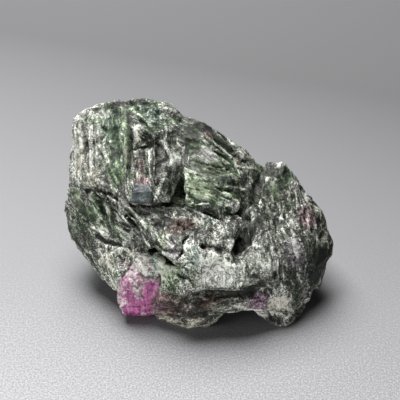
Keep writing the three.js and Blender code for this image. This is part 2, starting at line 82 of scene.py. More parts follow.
# directions of the fibre in the rock's parts
CROWN = (0.05, -0.87, -0.5)
ROOF = (0.93, -0.15, -0.45)
SLOPE = (0.75, -0.45, -0.5)
SEAM = (0.6, -0.62, -0.5)
FRONT = (0.06, -0.75, -0.66)
RIGHT = (0.3, -0.8, -0.55)
SIDE = (-0.35, -0.65, -0.68)
LEVEL = (1.0, 0.05, 0.1)
BACK = (0.95, 0.1, 0.3)
UPRIGHT = (0.05, 0.24, 0.97)        # long axis of the ruby

# parts of the rock: middle, direction of the fibre, then how pale and how green
# it is, how strongly it is splintered and how strongly it is streaked
Region = namedtuple("Region", "middle fibre pale green splintered streaked")
REGIONS = [Region(*row) for row in (
    # crown: left, green faces, top, right, foot
    ((-28, 9, 29), CROWN, 0.58, 0.1, 0.8, 0.6),
    ((-20.5, 10, 32), CROWN, 0.4, 0.5, 0.9, 0.9),
    ((-13, 15, 36), SLOPE, 0.33, 0.5, 1, 0.6),
    ((-10, 6, 31), CROWN, 0.36, 0.2, 1.1, 0.9),
    ((-13, -2, 26), CROWN, 0.38, 0.25, 0.9, 0.7),
    # long wedge: top, middle, low, right
    ((3, 12, 33), SLOPE, 0.28, 0.35, 0.9, 0.9),
    ((4, 6, 28), ROOF, 0.47, 0.45, 1, 1),
    ((0.5, -2, 26), ROOF, 0.48, 0.6, 0.8, 0.9),
    ((11, 5, 24), RIGHT, 0.31, 0.35, 1, 0.9),
    # shoulder: top, low, right side
    ((20, 0, 23.5), RIGHT, 0.38, 0.25, 1, 0.7),
    ((21, -9, 17), RIGHT, 0.34, 0.2, 1, 0.6),
    ((30, -6, 12), SIDE, 0.15, 0.35, 1, 0.8),
    # terrace: left, middle, knob, hollow behind it
    ((-10, -9, 21), SEAM, 0.44, 0.2, 0.9, 0.8),
    ((-2, -9, 21), RIGHT, 0.35, 0.12, 0.8, 0.5),
    ((6, -9.5, 20), FRONT, 0.33, 0.1, 0.9, 0.3),
    ((11.5, -7, 16), CROWN, 0.22, 0.25, 0.9, 0.9),
    # pale face: middle, right
    ((6, -18, 15.5), FRONT, 0.96, 0.04, 0.35, 0.7),
    ((15, -15, 16), FRONT, 0.64, 0.1, 0.45, 0.7),
    # left flank: seam, upper half, middle, low, in front of the ruby, edge
    ((-18, -3, 22.6), SEAM, 0.4, 0.15, 0.9, 1.1),
    ((-27, -1, 18), SEAM, 0.36, 0.45, 0.9, 0.7),
    ((-19, -7, 16), SEAM, 0.42, 0.3, 0.9, 0.7),
    ((-20, -11, 11), RIGHT, 0.58, 0.3, 0.8, 0.3),
    ((-6, -18, 12.5), SEAM, 0.58, 0.4, 1, 0.35),
    ((-33, 2, 14), SEAM, 0.4, 0.2, 0.9, 1),
    # low front: sill left and right, right foot
    ((-3, -22.5, 6), LEVEL, 0.22, 0.05, 0.8, 0.6),
    ((9, -21, 7), LEVEL, 0.34, 0.1, 0.7, 0.7),
    ((22, -19, 5), RIGHT, 0.46, 0.1, 0.8, 0.5),
    # hidden sides: back, left, low, right, underneath twice
    ((-6, 24, 22), BACK, 0.33, 0.45, 1, 0.5),
    ((-28, 17, 20), (0.6, 0.4, 0.6), 0.42, 0.25, 1, 0.6),
    ((4, 18, 8), (0.9, -0.2, 0.3), 0.3, 0.35, 1, 0.5),
    ((22, 8, 12), (0.5, 0.3, -0.8), 0.38, 0.25, 1, 0.6),
    ((-2, 4, 0), (1, 0.2, 0), 0.4, 0.15, 0.7, 0.6),
    ((-24, 0, 5), SEAM, 0.38, 0.25, 0.9, 0.7),
    # lip of the pale face
    ((13.5, -21.6, 10.4), LEVEL, 0.3, 0.2, 0.8, 0.6),
)]

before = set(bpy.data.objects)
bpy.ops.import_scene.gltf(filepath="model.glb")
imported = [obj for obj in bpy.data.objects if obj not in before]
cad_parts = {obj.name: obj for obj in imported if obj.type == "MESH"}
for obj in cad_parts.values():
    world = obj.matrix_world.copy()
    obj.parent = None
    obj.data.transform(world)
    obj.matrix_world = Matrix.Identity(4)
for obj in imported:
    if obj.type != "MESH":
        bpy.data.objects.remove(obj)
cad_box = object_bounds()
low, high = cad_box
BASE = np.array([(low[0] + high[0]) / 2, (low[1] + high[1]) / 2, low[2]]) / MM


# ---- noise
def lattice(ix, iy, iz, seed):
    """Random number from 0 to 1 for whole coordinates."""
    n = (ix * 374761393 + iy * 668265263 + iz * 1442695041 + seed * 1274126177) & 0xFFFFFFFF
    n = ((n ^ (n >> 13)) * 1274126177) & 0xFFFFFFFF
    n = ((n ^ (n >> 15)) * 2246822519) & 0xFFFFFFFF
    n = n ^ (n >> 16)
    return n / 4294967295.0


def noise(points, seed):
    """Smooth value noise from -1 to 1."""
    base = np.floor(points).astype(np.int64)
    f = points - base
    f = f * f * f * (f * (f * 6 - 15) + 10)
    total = np.zeros(len(points))
    for corner in product((0, 1), repeat=3):
        share = np.where(corner, f, 1 - f)
        share = share[:, 0] * share[:, 1] * share[:, 2]
        total += share * lattice(*(base + corner).T, seed)
    return total * 2 - 1


def fractal(points, seed, octaves=3):
    """Noise with finer and fainter copies of itself, about -1 to 1."""
    total = np.zeros(len(points))
    size, height, sum_height = 1.0, 1.0, 0.0
    for k in range(octaves):
        total += height * noise(points * size + 17.3 * k, seed + k)
        sum_height += height
        size *= 2.03
        height *= 0.5
    return total / sum_height


def cells(points, seed):
    """Nearest of the scattered cell middles: a random number, the way from the
    middle in cell sizes, and a random direction for each point's cell."""
    base = np.floor(points).astype(np.int64)
    best = np.full(len(points), np.inf)
    number = np.zeros(len(points))
    way = np.zeros((len(points), 3))
    tilt = np.zeros((len(points), 3))
    for corner in product((-1, 0, 1), repeat=3):
        cell = base + corner
        draws = np.stack([lattice(*cell.T, seed + k) for k in range(7)], axis=1)
        delta = points - (cell + draws[:, :3])
        painted_light_falloff = (delta ** 2).sum(axis=1)
        closer = painted_light_falloff < best
        best[closer] = painted_light_falloff[closer]
        way[closer] = delta[closer]
        number[closer] = draws[closer, 3]
        tilt[closer] = draws[closer, 4:] * 2 - 1
    return number, way, tilt


def smoothstep(low, high, value):
    t = np.clip((value - low) / (high - low), 0, 1)
    return t * t * (3 - 2 * t)


def unit(v):
    v = np.asarray(v, float)
    return v / np.linalg.norm(v)


# ---- mesh helpers
def new_object(name, data):
    made = bpy.data.objects.new(name, data)
    bpy.context.scene.collection.objects.link(made)
    return made


def fine_copy(name, node, voxel):
    """A fine, evenly meshed copy of a CAD node."""
    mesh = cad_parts[node].data.copy()
    mesh.materials.clear()
    piece = new_object(name, mesh)
    weld = piece.modifiers.new("weld", "WELD")
    weld.merge_threshold = WELD * MM
    remesh = piece.modifiers.new("remesh", "REMESH")
    remesh.mode = "VOXEL"
    remesh.voxel_size = voxel * MM
    remesh.adaptivity = 0.0
    depsgraph = bpy.context.evaluated_depsgraph_get()
    fine = bpy.data.meshes.new_from_object(piece.evaluated_get(depsgraph))
    piece.modifiers.clear()
    piece.data = fine
    bpy.data.meshes.remove(mesh)
    fine.name = name
    drop_crumbs(fine)
    fine.shade_smooth()
    return piece


def drop_crumbs(mesh):
    """Delete the tiny loose shells that remeshing leaves in narrow cracks."""
    work = bmesh.new()
    work.from_mesh(mesh)
    unseen = set(work.verts)
    shells = []
    while unseen:
        shell = [unseen.pop()]
        for vert in shell:
            for edge in vert.link_edges:
                other = edge.other_vert(vert)
                if other in unseen:
                    unseen.remove(other)
                    shell.append(other)
        shells.append(shell)
    shells.sort(key=len)
    for crumb in shells[:-1]:
        bmesh.ops.delete(work, geom=crumb, context="VERTS")
    work.to_mesh(mesh)
    work.free()


def read(items, key, width=3, kind=float):
    """One row of numbers for each of a mesh's corners or edges."""
    values = np.empty(len(items) * width, kind)
    items.foreach_get(key, values)
    return values.reshape(-1, width)


def read_points(mesh):
    return read(mesh.vertices, "co") / MM - BASE


def read_edges(mesh):
    return read(mesh.edges, "vertices", 2, np.int64)


def write_points(mesh, points):
    mesh.vertices.foreach_set("co", ((points + BASE) * MM).ravel())
    mesh.update()


def relax(values, edges, rounds):
    """Average every value with its neighbours', a number of times."""
    count = np.bincount(edges.ravel(), minlength=len(values)).astype(float)
    count = np.maximum(count, 1)
    flat = values.reshape(len(values), -1)
    for _ in range(rounds):
        total = np.zeros_like(flat)
        for k in range(flat.shape[1]):
            total[:, k] = np.bincount(edges[:, 0], flat[edges[:, 1], k], len(flat))
            total[:, k] += np.bincount(edges[:, 1], flat[edges[:, 0], k], len(flat))
        flat = 0.5 * flat + 0.5 * total / count[:, None]
    return flat.reshape(values.shape)


def soft_normals(mesh, edges, rounds):
    """The way out of the surface at each corner, evened out."""
    out = relax(read(mesh.vertices, "normal"), edges, rounds)
    return out / (np.linalg.norm(out, axis=1, keepdims=True) + 1e-9)


def store(mesh, name, values):
    """Keep a number or a vector for every vertex where the nodes can read it."""
    kind = "FLOAT" if values.ndim == 1 else "FLOAT_VECTOR"
    key = "value" if values.ndim == 1 else "vector"
    attribute = mesh.attributes.new(name, kind, "POINT")
    attribute.data.foreach_set(key, values.astype(np.float32).ravel())


# ---- spots and lines
class Painter:
    """Soft ragged spots and lines on a surface. Each may make it paler (tone above 0)
    or darker (below 0), raise (+) or sink (-) it in mm, and give amounts to named
    channels of paint."""

    def __init__(self, points, fibre):
        self.points = points
        self.fibre = fibre
        self.ragged = 0.24 * fractal(points / 1.5, 201, 3) + 0.12 * noise(points / 0.5, 207)
        self.rise = np.zeros(len(points))
        self.channels = {}

    def add(self, share, tone, rise, paint):
        self.rise += share * rise
        paint["pale" if tone > 0 else "dark"] = abs(tone)
        for name, amount in paint.items():
            channel = self.channels.setdefault(name, np.zeros(len(self.points)))
            channel += (1 - np.clip(channel, 0, 1)) * share * amount

    def spot(self, middle, length, width, tone=0, along=None, rise=0, soft=0.35, rim=0, **paint):
        """An oval, length and width across in mm, lying along the fibre or another
        direction, with a pale rim where one is asked for."""
        along = unit(along or self.fibre)
        way = self.points - np.array(middle)
        run = way @ along
        off = np.linalg.norm(way - run[:, None] * along, axis=1)
        far = np.sqrt((2 * run / length) ** 2 + (2 * off / width) ** 2)
        far = far * (1 + self.ragged * SPOT_RAG)
        self.add(smoothstep(1 + soft, 1 - soft, far), tone, rise, paint)
        if rim:
            self.add(smoothstep(RIM_WIDTH, 0.0, np.abs(far - 1)), rim, RIM_HEIGHT, {})

    def line(self, width, tone, *corners, rise=0, **paint):
        """A line from corner to corner, width in mm."""
        far = np.full(len(self.points), np.inf)
        for start, end in zip(corners[:-1], corners[1:]):
            a, b = np.array(start, float), np.array(end, float)
            t = np.clip(((self.points - a) @ (b - a)) / ((b - a) @ (b - a)), 0, 1)
            gap = np.linalg.norm(self.points - a - t[:, None] * (b - a), axis=1)
            far = np.minimum(far, gap)
        far = (far + self.ragged * LINE_RAG) * 2 / width
        self.add(smoothstep(1 + LINE_SOFT, 1 - LINE_SOFT, far), tone, rise, paint)

    def get(self, name):
        return np.clip(self.channels.get(name, np.zeros(len(self.points))), 0, 1)


def paint_crown_left(spot, line):
    """Pale strips and dark gaps down the left side."""
    line(1.4, 0.3, (-29.5, 16, 34), (-29, 10, 30), rise=0.2, cream=0.5)
    line(0.7, -0.5, (-30.5, 15, 33.5), (-29.5, 9.5, 30), rise=-0.2)
    line(1.4, 0.1, (-27, 17, 35.5), (-26.5, 10.5, 31), (-26, 3.5, 27), rise=0.2)
    line(0.5, -0.4, (-28, 16, 34.5), (-27, 5.5, 27), rise=-0.2)
    line(1.2, 0.2, (-25, 16, 35), (-24.5, 11, 32), rise=0.2)
    line(0.5, -0.5, (-26, 11.5, 32), (-25.5, 2.5, 26), rise=-0.2)
    spot((-29.5, 7.5, 27), 7, 2.2, cream=0.6)
    spot((-29.8, 5.6, 25.2), 5, 2.4, -0.3, SEAM)
    spot((-28, 10, 30), 18, 8, smooth=0.6)
    spot((-26, 3.2, 26), 7, 4, -0.2, SEAM, cream=0.5)
    spot((-23.6, 1.4, 25.2), 4.5, 2, 0.7, SEAM)
    spot((-30, 10, 29.8), 4, 2.4, 0.5)
    spot((-24, 16.5, 35.5), 4, 3, 0.5, smooth=0.5)


def paint_crown_faces(spot, line):
    """Smooth green and blue-green faces."""
    spot((-23.2, 13.6, 33.4), 2.2, 1.2, -0.6, SLOPE, rise=-0.3)
    spot((-24.3, 13.8, 34), 4, 1.8, 0.6)
    spot((-21.7, 14, 33.5), 8, 5, 0.4, rise=-0.2, rim=0.3, teal=0.4, green=0.8, smooth=0.7)
    spot((-20, 8.5, 30.5), 11, 3.4, -0.25, rise=-0.2, rim=0.3, green=1, smooth=0.8)
    spot((-19.5, 2.5, 27.5), 7, 3.4, 0.12, green=0.9, smooth=0.6)
    spot((-22.5, 4, 28.5), 8, 2.2, green=0.5, smooth=0.4)
    line(0.7, 0.25, (-24.5, 10, 31), (-22, 5, 29.5), (-19.5, 0.5, 26.5), rise=0.2, lime=0.4)
    line(1.8, -0.1, (-18.5, 18, 36.5), (-17.5, 11.5, 34.5), (-17, 7, 32), (-17.5, 4, 30), rise=0.25,
         lime=0.5, smooth=1)
    line(0.5, 0.3, (-19.5, 17, 36), (-18.5, 11, 33.5), rise=-0.2)
    line(0.5, -0.8, (-16.5, 12, 34.5), (-16, 6.5, 31), rise=-0.3)
    line(0.7, -0.7, (-23, 11, 31.5), (-21, 8.5, 30.5), rise=-0.3)


def paint_crown_middle(spot, line):
    """The broken middle with its pocket, and the top edge."""
    spot((-14.8, 11, 33.5), 4, 2.4, 1, rise=0.4, cream=0.5)
    spot((-12.5, 9.8, 33), 5, 2.4, -1, SLOPE, rise=-0.8)
    spot((-13.6, 12.2, 34.2), 3, 1.6, 1, SLOPE, rise=0.2)
    spot((-9.4, 10.4, 32.6), 3, 1.8, 0.6, SLOPE)
    line(0.9, -1, (-15.5, 7.5, 31.5), (-13, 8.5, 31.5), rise=-0.4)
    line(2.2, 0, (-16.5, 18, 37), (-13, 14, 36), green=0.7, smooth=0.6)
    line(0.5, 0.3, (-17, 17.5, 36.5), (-14.5, 15, 36.5), (-11.5, 12, 35), rise=0.2)
    line(0.5, 0.25, (-17.5, 18.5, 37), (-15, 16, 36.5), (-12.5, 13.5, 36), rise=0.2)
    spot((-12, 16, 37), 8, 4.5, 0, SLOPE, teal=0.5, green=0.6)
    spot((-20.7, 17, 35.8), 4.4, 3, -0.8, green=0.7)
    line(2.2, -0.7, (-22.5, 19, 37), (-18.5, 19.5, 37.5), (-14, 19.5, 38), (-12, 18.5, 38))
    spot((-9, 13, 34.8), 3.4, 2.6, -0.5, SLOPE, green=0.6)
    spot((-7.5, 17, 36.8), 5, 3.4, 0.2, SLOPE, rise=0.3, grey=1)


def paint_crown_blades(spot, line):
    """Upright blades above the small crystal."""
    for top, low in (
        ((-16.2, 6.5, 31), (-15.8, -0.5, 27)), ((-12, 7.5, 31), (-11.7, 1.5, 28.5)),
        ((-11, 7.5, 31.5), (-10.7, 1.5, 29.5)), ((-9.8, 3.5, 30), (-10.2, -1, 27.5)),
    ):
        line(0.5, 0.6, top, low, rise=0.2)
    line(0.5, -0.8, (-11.5, 7, 31), (-11.2, 1, 28.5), rise=-0.3)
    line(0.9, -0.9, (-10.5, 3, 30), (-10, -1, 27.5), rise=-0.4)
    line(2.2, 0, (-14.2, 4, 30), (-13.9, 0.3, 28), rust=0.4, cream=0.3, pink=0.5)
    spot((-13.1, 0, 27.8), 3.6, 2, 0, LEVEL, pink=0.9)
    spot((-15.2, 0.8, 27.8), 4, 1.4, -0.5)


def paint_crown_arch(spot, line):
    """Hollows darkened with painted shade, a white blade, the arch right of the blades lifted with
    painted light, and a painted shadow under the crown's ledge.
    """
    # dark hollow: painted shade on sunk ground
    spot((-10, 7.5, 31.5), 7, 2.4, -0.8, rise=-0.4)
    line(0.9, 0.8, (-8.5, 9.5, 32.5), (-7.5, 7, 32), (-6.5, 6, 30.5), rise=0.3)
    spot((-5.8, 4.9, 30.1), 4.4, 3, 1, teal=0.4, smooth=0.7)
    # dark spots: painted shade in the recess of the arch
    spot((-7.4, 3.6, 29.8), 4, 1.8, -0.5)
    spot((-5, 1.6, 27.2), 5, 2, -0.6)
    spot((-6, 1, 21.2), 6, 4, 0.7)
    # pale: painted light lifting the shade inside the arch
    spot((-5.4, 1.5, 25), 9, 3, 0.7, green=0.3)
    spot((-8.8, 2.8, 29.6), 7, 2.4, -0.5)
    spot((-7.6, 0, 27.7), 5.5, 1.8, -0.25, rise=0.3)
    spot((-8.7, -3.8, 25.6), 3.4, 2, -0.5)
    line(0.8, 0.7, (-8.5, 0, 28), (-9.5, -2, 26.5), (-10.5, -4.5, 25.5), rise=0.2)
    # dark line: painted shadow under the crown's ledge
    line(1.5, -0.6, (-16, -3.8, 24), (-12, -4, 23.3), (-8, -3.6, 23.2))
    spot((-14.5, -5.1, 22.9), 3.4, 2.4, 0.4, LEVEL)


def paint_roof_top(spot, line):
    """The top edge of the long wedge."""
    spot((-1.3, 11.2, 33.6), 6, 4, -0.55, CROWN, green=1, lime=0.4, smooth=0.6)
    spot((-1.6, 8.8, 32.2), 5.5, 4, -0.5, CROWN, green=1, lime=0.5, smooth=0.6)
    spot((2.2, 11.8, 33), 2.6, 1.3, pink=0.7)
    spot((1, 13.6, 34.1), 4.4, 3, -1)
    line(1.8, -0.6, (5, 11.6, 31.8), (6.5, 11, 30.5), (8, 10.6, 28.9), green=0.5, smooth=0.9)
    line(0.7, 0.5, (8.5, 12.2, 29.5), (9.5, 10.6, 27.6), (10.5, 7.5, 26), rise=0.2, cream=0.5)
    spot((12, 10.5, 26.5), 6, 5, 0.25, grey=0.7)
    spot((11.6, 9.6, 26.4), 1.4, 0.9, -0.9, rise=-0.4)
    spot((10.5, 10.8, 27.3), 3, 1.8, 0.7)
    spot((12.5, 11.5, 26.5), 1.4, 0.9, -0.9, rise=-0.4)
    spot((1.7, 6.6, 30.8), 7, 3.4, 0.3, lilac=0.5, smooth=0.5)


def paint_roof_blades(spot, line):
    """Blades running down to the right."""
    line(0.7, 0.6, (1.5, 9.3, 32.7), (6, 9, 29), (10.5, 7.5, 26), rise=0.3)
    line(0.7, 0.5, (3, 10.5, 32), (6.5, 9.6, 29.4), (9.7, 8.8, 26.8), rise=0.3)
    spot((3, 8, 31), 4.5, 2.4, 0.9)
    spot((6, 8.4, 28.6), 6, 1.4, -0.3, rise=-0.2, green=0.9, smooth=0.7)
    line(0.6, 0.5, (9.2, 7.3, 26.4), (14.3, 8.9, 24.2), rise=0.2, cream=0.5)
    line(0.5, -0.8, (-2, 4.9, 30.2), (2, 4.4, 29.3), (5.9, 5.5, 27.5), rise=-0.3)
    spot((4.8, 5.8, 28.8), 5, 2, 0.6)
    for k in range(4):
        down = np.array((0, -0.55, -0.35)) * k
        rows = [np.array(c) + down for c in ((-2.5, 4, 29.7), (4.2, 4.2, 27.5), (11.7, 6, 24.6))]
        line(0.45, 0.4, *rows, rise=0.2)
        line(0.35, -0.5, *[c + 0.5 * down / max(k, 1) for c in rows], rise=-0.2)
    spot((3.5, 3.6, 28), 15, 3, lime=0.4, green=0.4, smooth=0.5)
    spot((0, 4.8, 29.9), 4, 2, -0.5, green=0.3)
    spot((0, 1.8, 28.4), 5, 2.4, 0.8)
    spot((-2.9, 4.6, 30.1), 3.4, 2.6, -0.4, CROWN)
    spot((2.9, 2.9, 27.7), 5, 2.4, 0.5)


def paint_roof_lenses(spot, line):
    """Lenses of smooth green mineral low on the wedge."""
    spot((7.3, 1.9, 26.3), 8.5, 2.2, -1, rise=-0.2, rim=0.3, teal=0.5, green=1, smooth=0.8)
    line(1.6, -0.6, (5, 2.4, 27), (9, 2, 25))
    line(0.5, 0.6, (4.2, 0.8, 25.6), (7.8, 1.3, 24.9), (11.6, 2.3, 23), rise=0.3)
    spot((7.8, 0, 23.9), 7, 2.4, rim=0.2, green=0.9, smooth=0.8)
    spot((0.5, -1.2, 26), 7.2, 5.2, 0.1, rise=0.3, lime=0.7, smooth=0.5)
    line(0.6, 0.6, (-2.4, -0.7, 27), (-2.4, -3.6, 25.4), (-0.5, -5.2, 24.5), (2.4, -4.2, 24), rise=0.2)
    line(0.5, 0.5, (-1, -0.5, 26.8), (-0.8, -2.8, 25.5), (1.5, -3, 25), (2.5, -1, 25.5))
    spot((2.9, 0.3, 26), 3, 2, -0.25, green=0.9)
    spot((2.9, -2.9, 24.8), 3.4, 2.6, 0.4)
    spot((8.8, 1.8, 24.8), 3.4, 2, 0.45)
    spot((3.6, -3.6, 23.9), 3.2, 1.6, -0.6, CROWN, green=0.8, smooth=0.5)
    spot((6.8, -4.7, 21.9), 3.4, 2.2, -0.6, green=0.6)
    spot((7.4, -0.8, 23.8), 2.4, 1.4, 1, rise=0.5)
    spot((9.2, -1.6, 22.3), 1.8, 1.6, 0.9, rise=0.5)
    spot((7.5, -3.8, 22.3), 4, 2, -0.3, green=0.5)
    spot((5.4, -2.2, 23.7), 1.6, 2, 0.5)
    line(1.6, -1, (-0.7, -5.3, 24.4), (1.7, -6, 23.3), (4.1, -6.1, 22), rise=-0.5)
    for shift in (0, 0.9):
        line(0.5, 0.7, (-3.4 + shift, 2.8, 28.4), (-2.7 + shift, 0.3, 28), rise=0.2)


def paint_channel(spot, line):
    """The deep channel and the pocket between the wedge and the shoulder. Their dark spots and lines
    are painted shade, and the wide pale spot low in the pocket is painted light lifting its shade.
    """
    # dark line: painted shade down the channel
    line(2.8, -0.9, (11.6, 4.6, 24), (12, 3.4, 23.2))
    spot((10.4, 6.4, 25.6), 3, 2, 0.7, RIGHT)
    line(2.6, -0.7, (15, 6.5, 21.5), (15, 2.5, 20.5), (14.7, -3, 21), (14.5, -8.8, 18.4))
    spot((14.5, -8.8, 18.4), 4, 3, -0.8, RIGHT)
    spot((8.8, -2.9, 21), 4.4, 2.8, 1, ROOF, rise=0.6)
    spot((8.8, -0.6, 22.8), 4, 2.4, 0.75, ROOF)
    spot((11.9, 2, 20.8), 3.6, 3, 0.4, CROWN)
    spot((11.8, -3, 17.3), 3.6, 3, -0.4, CROWN)
    line(3, 0, (12.2, 3, 21.5), (11.4, 0.9, 19.6), (12.6, -0.8, 18.4), rise=0.9)
    # pale: painted light lifting the shade in the pocket
    spot((11.8, -5, 16.4), 8, 4.4, 0.2, CROWN)
    line(1.6, -0.3, (8, -7, 20.4), (8.7, -9.5, 19.4))
    # dark spots and line: painted shade deep in the hollow and the curved shadow under the knob
    spot((12.4, -8.4, 14.8), 5, 4, -0.9)
    spot((10.2, -11, 14.8), 4, 3.4, -1)
    line(3.6, -1, (6, -14.8, 18.4), (8.6, -16, 17.5), (11, -13, 17.6), rise=-0.7)
    spot((8.5, -16, 17.4), 5, 3.2, -1)
    spot((8.8, -6.5, 20), 4.5, 2.6, -0.8, FRONT)


def paint_terrace(spot, line):
    """The terrace, the knob and the upper edge of the pale face."""
    line(0.8, -1, (-1.2, -4.5, 23.4), (1.7, -5.9, 23), (4.8, -6.3, 21), rise=-0.4)
    line(0.7, 0.5, (-2.4, -4.2, 22.8), (1.7, -6.5, 22), (5.8, -7.4, 20.4), rise=0.2)
    line(0.7, 0.4, (-2.9, -5.8, 22.2), (0.5, -8, 21.6), (4.1, -9.7, 20.5), cream=0.5)
    spot((-12.8, -6.8, 22.3), 6, 3, 0.8)
    spot((-8.4, -8.8, 22.5), 6, 3.8, -1, rise=-0.5)
    spot((-4.5, -8.5, 21), 6, 4, rise=0.7)
    spot((-3.9, -9.2, 21.5), 6, 3, -0.5, rust=1, smooth=0.5)
    line(0.7, 0.4, (-7.7, -10.8, 21.5), (-5.3, -11.4, 21), (-2.9, -10.9, 20.9), rust=0.7)
    spot((1.9, -8.7, 21.5), 2, 1.6, -0.2, RIGHT, teal=0.9)
    spot((5.5, -10, 20.5), 6, 4, 0.6, FRONT)
    spot((0, -11, 20.4), 4, 3, -0.7, FRONT)
    spot((0, -7.8, 21.7), 4, 2.4, 0.8)
    spot((0, -5.3, 22.7), 3, 2, 0.5)
    spot((-8.7, -4.8, 22.7), 3.4, 2.4, 0.4)
    spot((-3, -11.5, 20.7), 3, 2, -0.4)
    spot((-3, -14, 19.3), 3.4, 2.6, 0.6, FRONT)
    spot((-8.5, -14.9, 20.1), 3, 2, -0.4, FRONT)
    spot((9.4, -11, 19.2), 7, 1.6, -0.5, FRONT)
    spot((0.5, -15.6, 18.8), 3, 2.4, 0.4, FRONT)
    spot((-5.2, -5.4, 22.6), 5, 2.4, -0.6)
    # dark spot and line: painted shadow under the knob, over sunk ground
    spot((1.2, -14.5, 19.4), 1.6, 1.5, -1, FRONT, rise=-0.7)
    line(1.8, -0.7, (1.9, -14.3, 19.2), (4.8, -14.8, 18.7), (8, -15.1, 18), rise=-0.3)
    spot((-8.5, -13.9, 20.7), 3.6, 2.6, 0, FRONT, lime=0.6, cream=0.3)
    spot((-5.7, -15.4, 19.2), 6, 4, 0.12, FRONT, lilac=0.5, smooth=0.3)
    line(0.5, -1, (-2.4, -12.1, 20.4), (-3.6, -13.3, 19.9), (-3.6, -15.5, 18.7), (-4.8, -17.3, 18),
         rise=-0.6)
    spot((-0.7, -16.5, 18.3), 5.5, 3.4, 0.2, FRONT, teal=0.6, smooth=0.4)
    spot((-2.9, -16.9, 18.1), 3.4, 2.4, 0.5, FRONT)


def paint_front_green(spot, line):
    """Green rock between the long seam and the ruby."""
    line(3.5, 0, (-9, -13.5, 14.8), (-5.5, -15.5, 15.2), (-2, -17.5, 14.8), rise=1.2)
    spot((-12.8, -14.5, 14.4), 6, 4.5, 0.75, SEAM, pink=0.35, grey=1)
    spot((-10.4, -15.4, 14), 5, 2.2, 0.4, RIGHT, teal=0.8)
    spot((-8.6, -16.3, 13.6), 4.5, 3.4, 0.45, RIGHT, lime=0.3)
    # dark spots: painted shade in the undercut below the terrace, over green mineral
    spot((-8.4, -14, 15.2), 3.6, 3, -0.7, green=0.4)
    spot((-8.8, -10.4, 12.5), 4, 3, -0.8)
    spot((-10, -16.4, 12.5), 5, 2, 0.7)
    spot((-12.4, -13.8, 15.3), 5, 2.6, 0.8)
    spot((-17.5, -13.5, 12.5), 5, 4, pink=0.3, grey=1)
    spot((-20.3, -14.5, 12), 5, 3.6, -0.6, SEAM)
    # dark green spots: painted shade in the undercut below the terrace, over green mineral
    spot((-10.5, -11, 14.5), 5, 3, -0.5, green=0.6)
    spot((-8.8, -11.4, 13.4), 3.4, 3, -0.5)
    spot((-6.2, -17.6, 14.1), 7, 6, 0, FRONT, lime=0.4, green=0.4)
    spot((-5.6, -19.6, 13), 4, 3, -0.3, FRONT, green=0.4)
    spot((-5.6, -17, 14.9), 4, 3, 0.6, FRONT, lime=0.3)
    line(0.6, -1, (-4.8, -18.8, 14.3), (-1.9, -20.7, 13.8), (1, -21, 12), rise=-0.5)
    spot((-2.4, -21.3, 13.7), 3.4, 2.4, -0.35, rise=0.1)
    spot((3, -20.4, 13.4), 4.4, 2.2, 0.25)
    spot((-2.8, -19, 15.4), 4.4, 2.4, -0.4, SEAM, teal=0.4)
    spot((-5.5, -20.8, 10.9), 5, 3, -0.8, green=0.3)
    spot((-1.5, -20.8, 10.2), 7, 2.4, 0.6, green=0.4)


def paint_front_lip(spot, line):
    """Lip of the pale face and the hollow under it, darkened with painted shadow."""
    line(2.4, -0.35, (2, -16, 18), (5, -16.2, 17.8), (9, -17, 16.8))
    spot((15.6, -14.1, 16.4), 8, 3.6, 0.25, FRONT)
    line(0.8, 0.3, (9, -21.1, 12.8), (15.3, -18.8, 12.6), (18.5, -18.7, 9.2), (17.4, -19.7, 6.8),
         rise=0.2)
    # dark lines: painted shadow under the lip, with the recess's own darker rock
    line(2.2, -0.5, (9.5, -20.8, 12.7), (12.5, -20.1, 12.3), (15, -19.2, 11.8))
    line(1, -0.9, (-0.7, -21.1, 9.8), (2.9, -21.3, 12), (6.4, -21, 12.3), (13.6, -19.8, 11.3))
    line(2.8, -0.9, (3, -21, 9.8), (6.5, -20.4, 10), (12.5, -19.7, 9.5), rise=-0.3, smooth=0.4)


def paint_front_low(spot, line):
    """Brown, purple and cream minerals of the low front, with painted light under the right foot's
    overhang.
    """
    spot((-9, -21, 6), 7, 7, rust=1, pink=0.4, smooth=0.5)
    spot((-9.4, -20.6, 5), 6, 2.4, 0, UPRIGHT, soft=0.7, purple=0.5, pink=0.4)
    spot((-4.5, -21.8, 6.5), 9, 7, -0.3, rust=0.45, smooth=0.4)
    spot((0, -23, 4.6), 5, 3.4, -0.9)
    spot((2.4, -22.3, 8.5), 8, 3.4, rust=0.6, smooth=0.4)
    spot((11.6, -20.9, 6.1), 5.5, 3.4, 0.9)
    # pale: painted light lifting the shade under the right foot's overhang
    spot((13.5, -21.2, 3.6), 9, 3, 1, lilac=0.3)
    line(2.4, 0.5, (-9.5, -20.5, 3.7), (-6.8, -21.4, 1.6), (-3.2, -22.3, 0.8), (0.5, -22.6, 2.8),
         cream=0.6, pink=0.35)
    line(1.4, 0.25, (4, -22.2, 5.3), (9, -21.5, 5.5), (12.6, -21.4, 4.7))
    spot((14.8, -20.3, 6.4), 6.5, 5, 0.4, soft=0.6, purple=0.7)
    spot((14.2, -20.4, 6.8), 3, 2, -0.4, purple=0.5)
    line(0.8, 0.35, (12, -20.3, 9), (14, -19.6, 9), (16, -19.9, 7), (15.5, -20.8, 3.8), lilac=0.7)
    spot((20.2, -18.8, 9.3), 6, 3, 0.3)
    spot((17, -19.2, 8.6), 3, 2.4, -0.5, RIGHT)
    spot((26, -17, 3), 8, 4, 0, SIDE, rise=-0.9)
    spot((19.4, -20.4, 5.8), 5.5, 4, 0.8, soft=0.6, cream=0.9, smooth=0.1)
    spot((24, -18.5, 7), 8, 4, -0.6, RIGHT, green=0.4)
    spot((21.1, -20.8, 3.4), 1.4, 1, -0.4, RIGHT, rust=0.8)
    # darker along the bottom edge
    line(2.2, -0.6, (15, -21.3, 1.6), (18.7, -21.5, 1.2), (24.5, -19.6, 0.6))


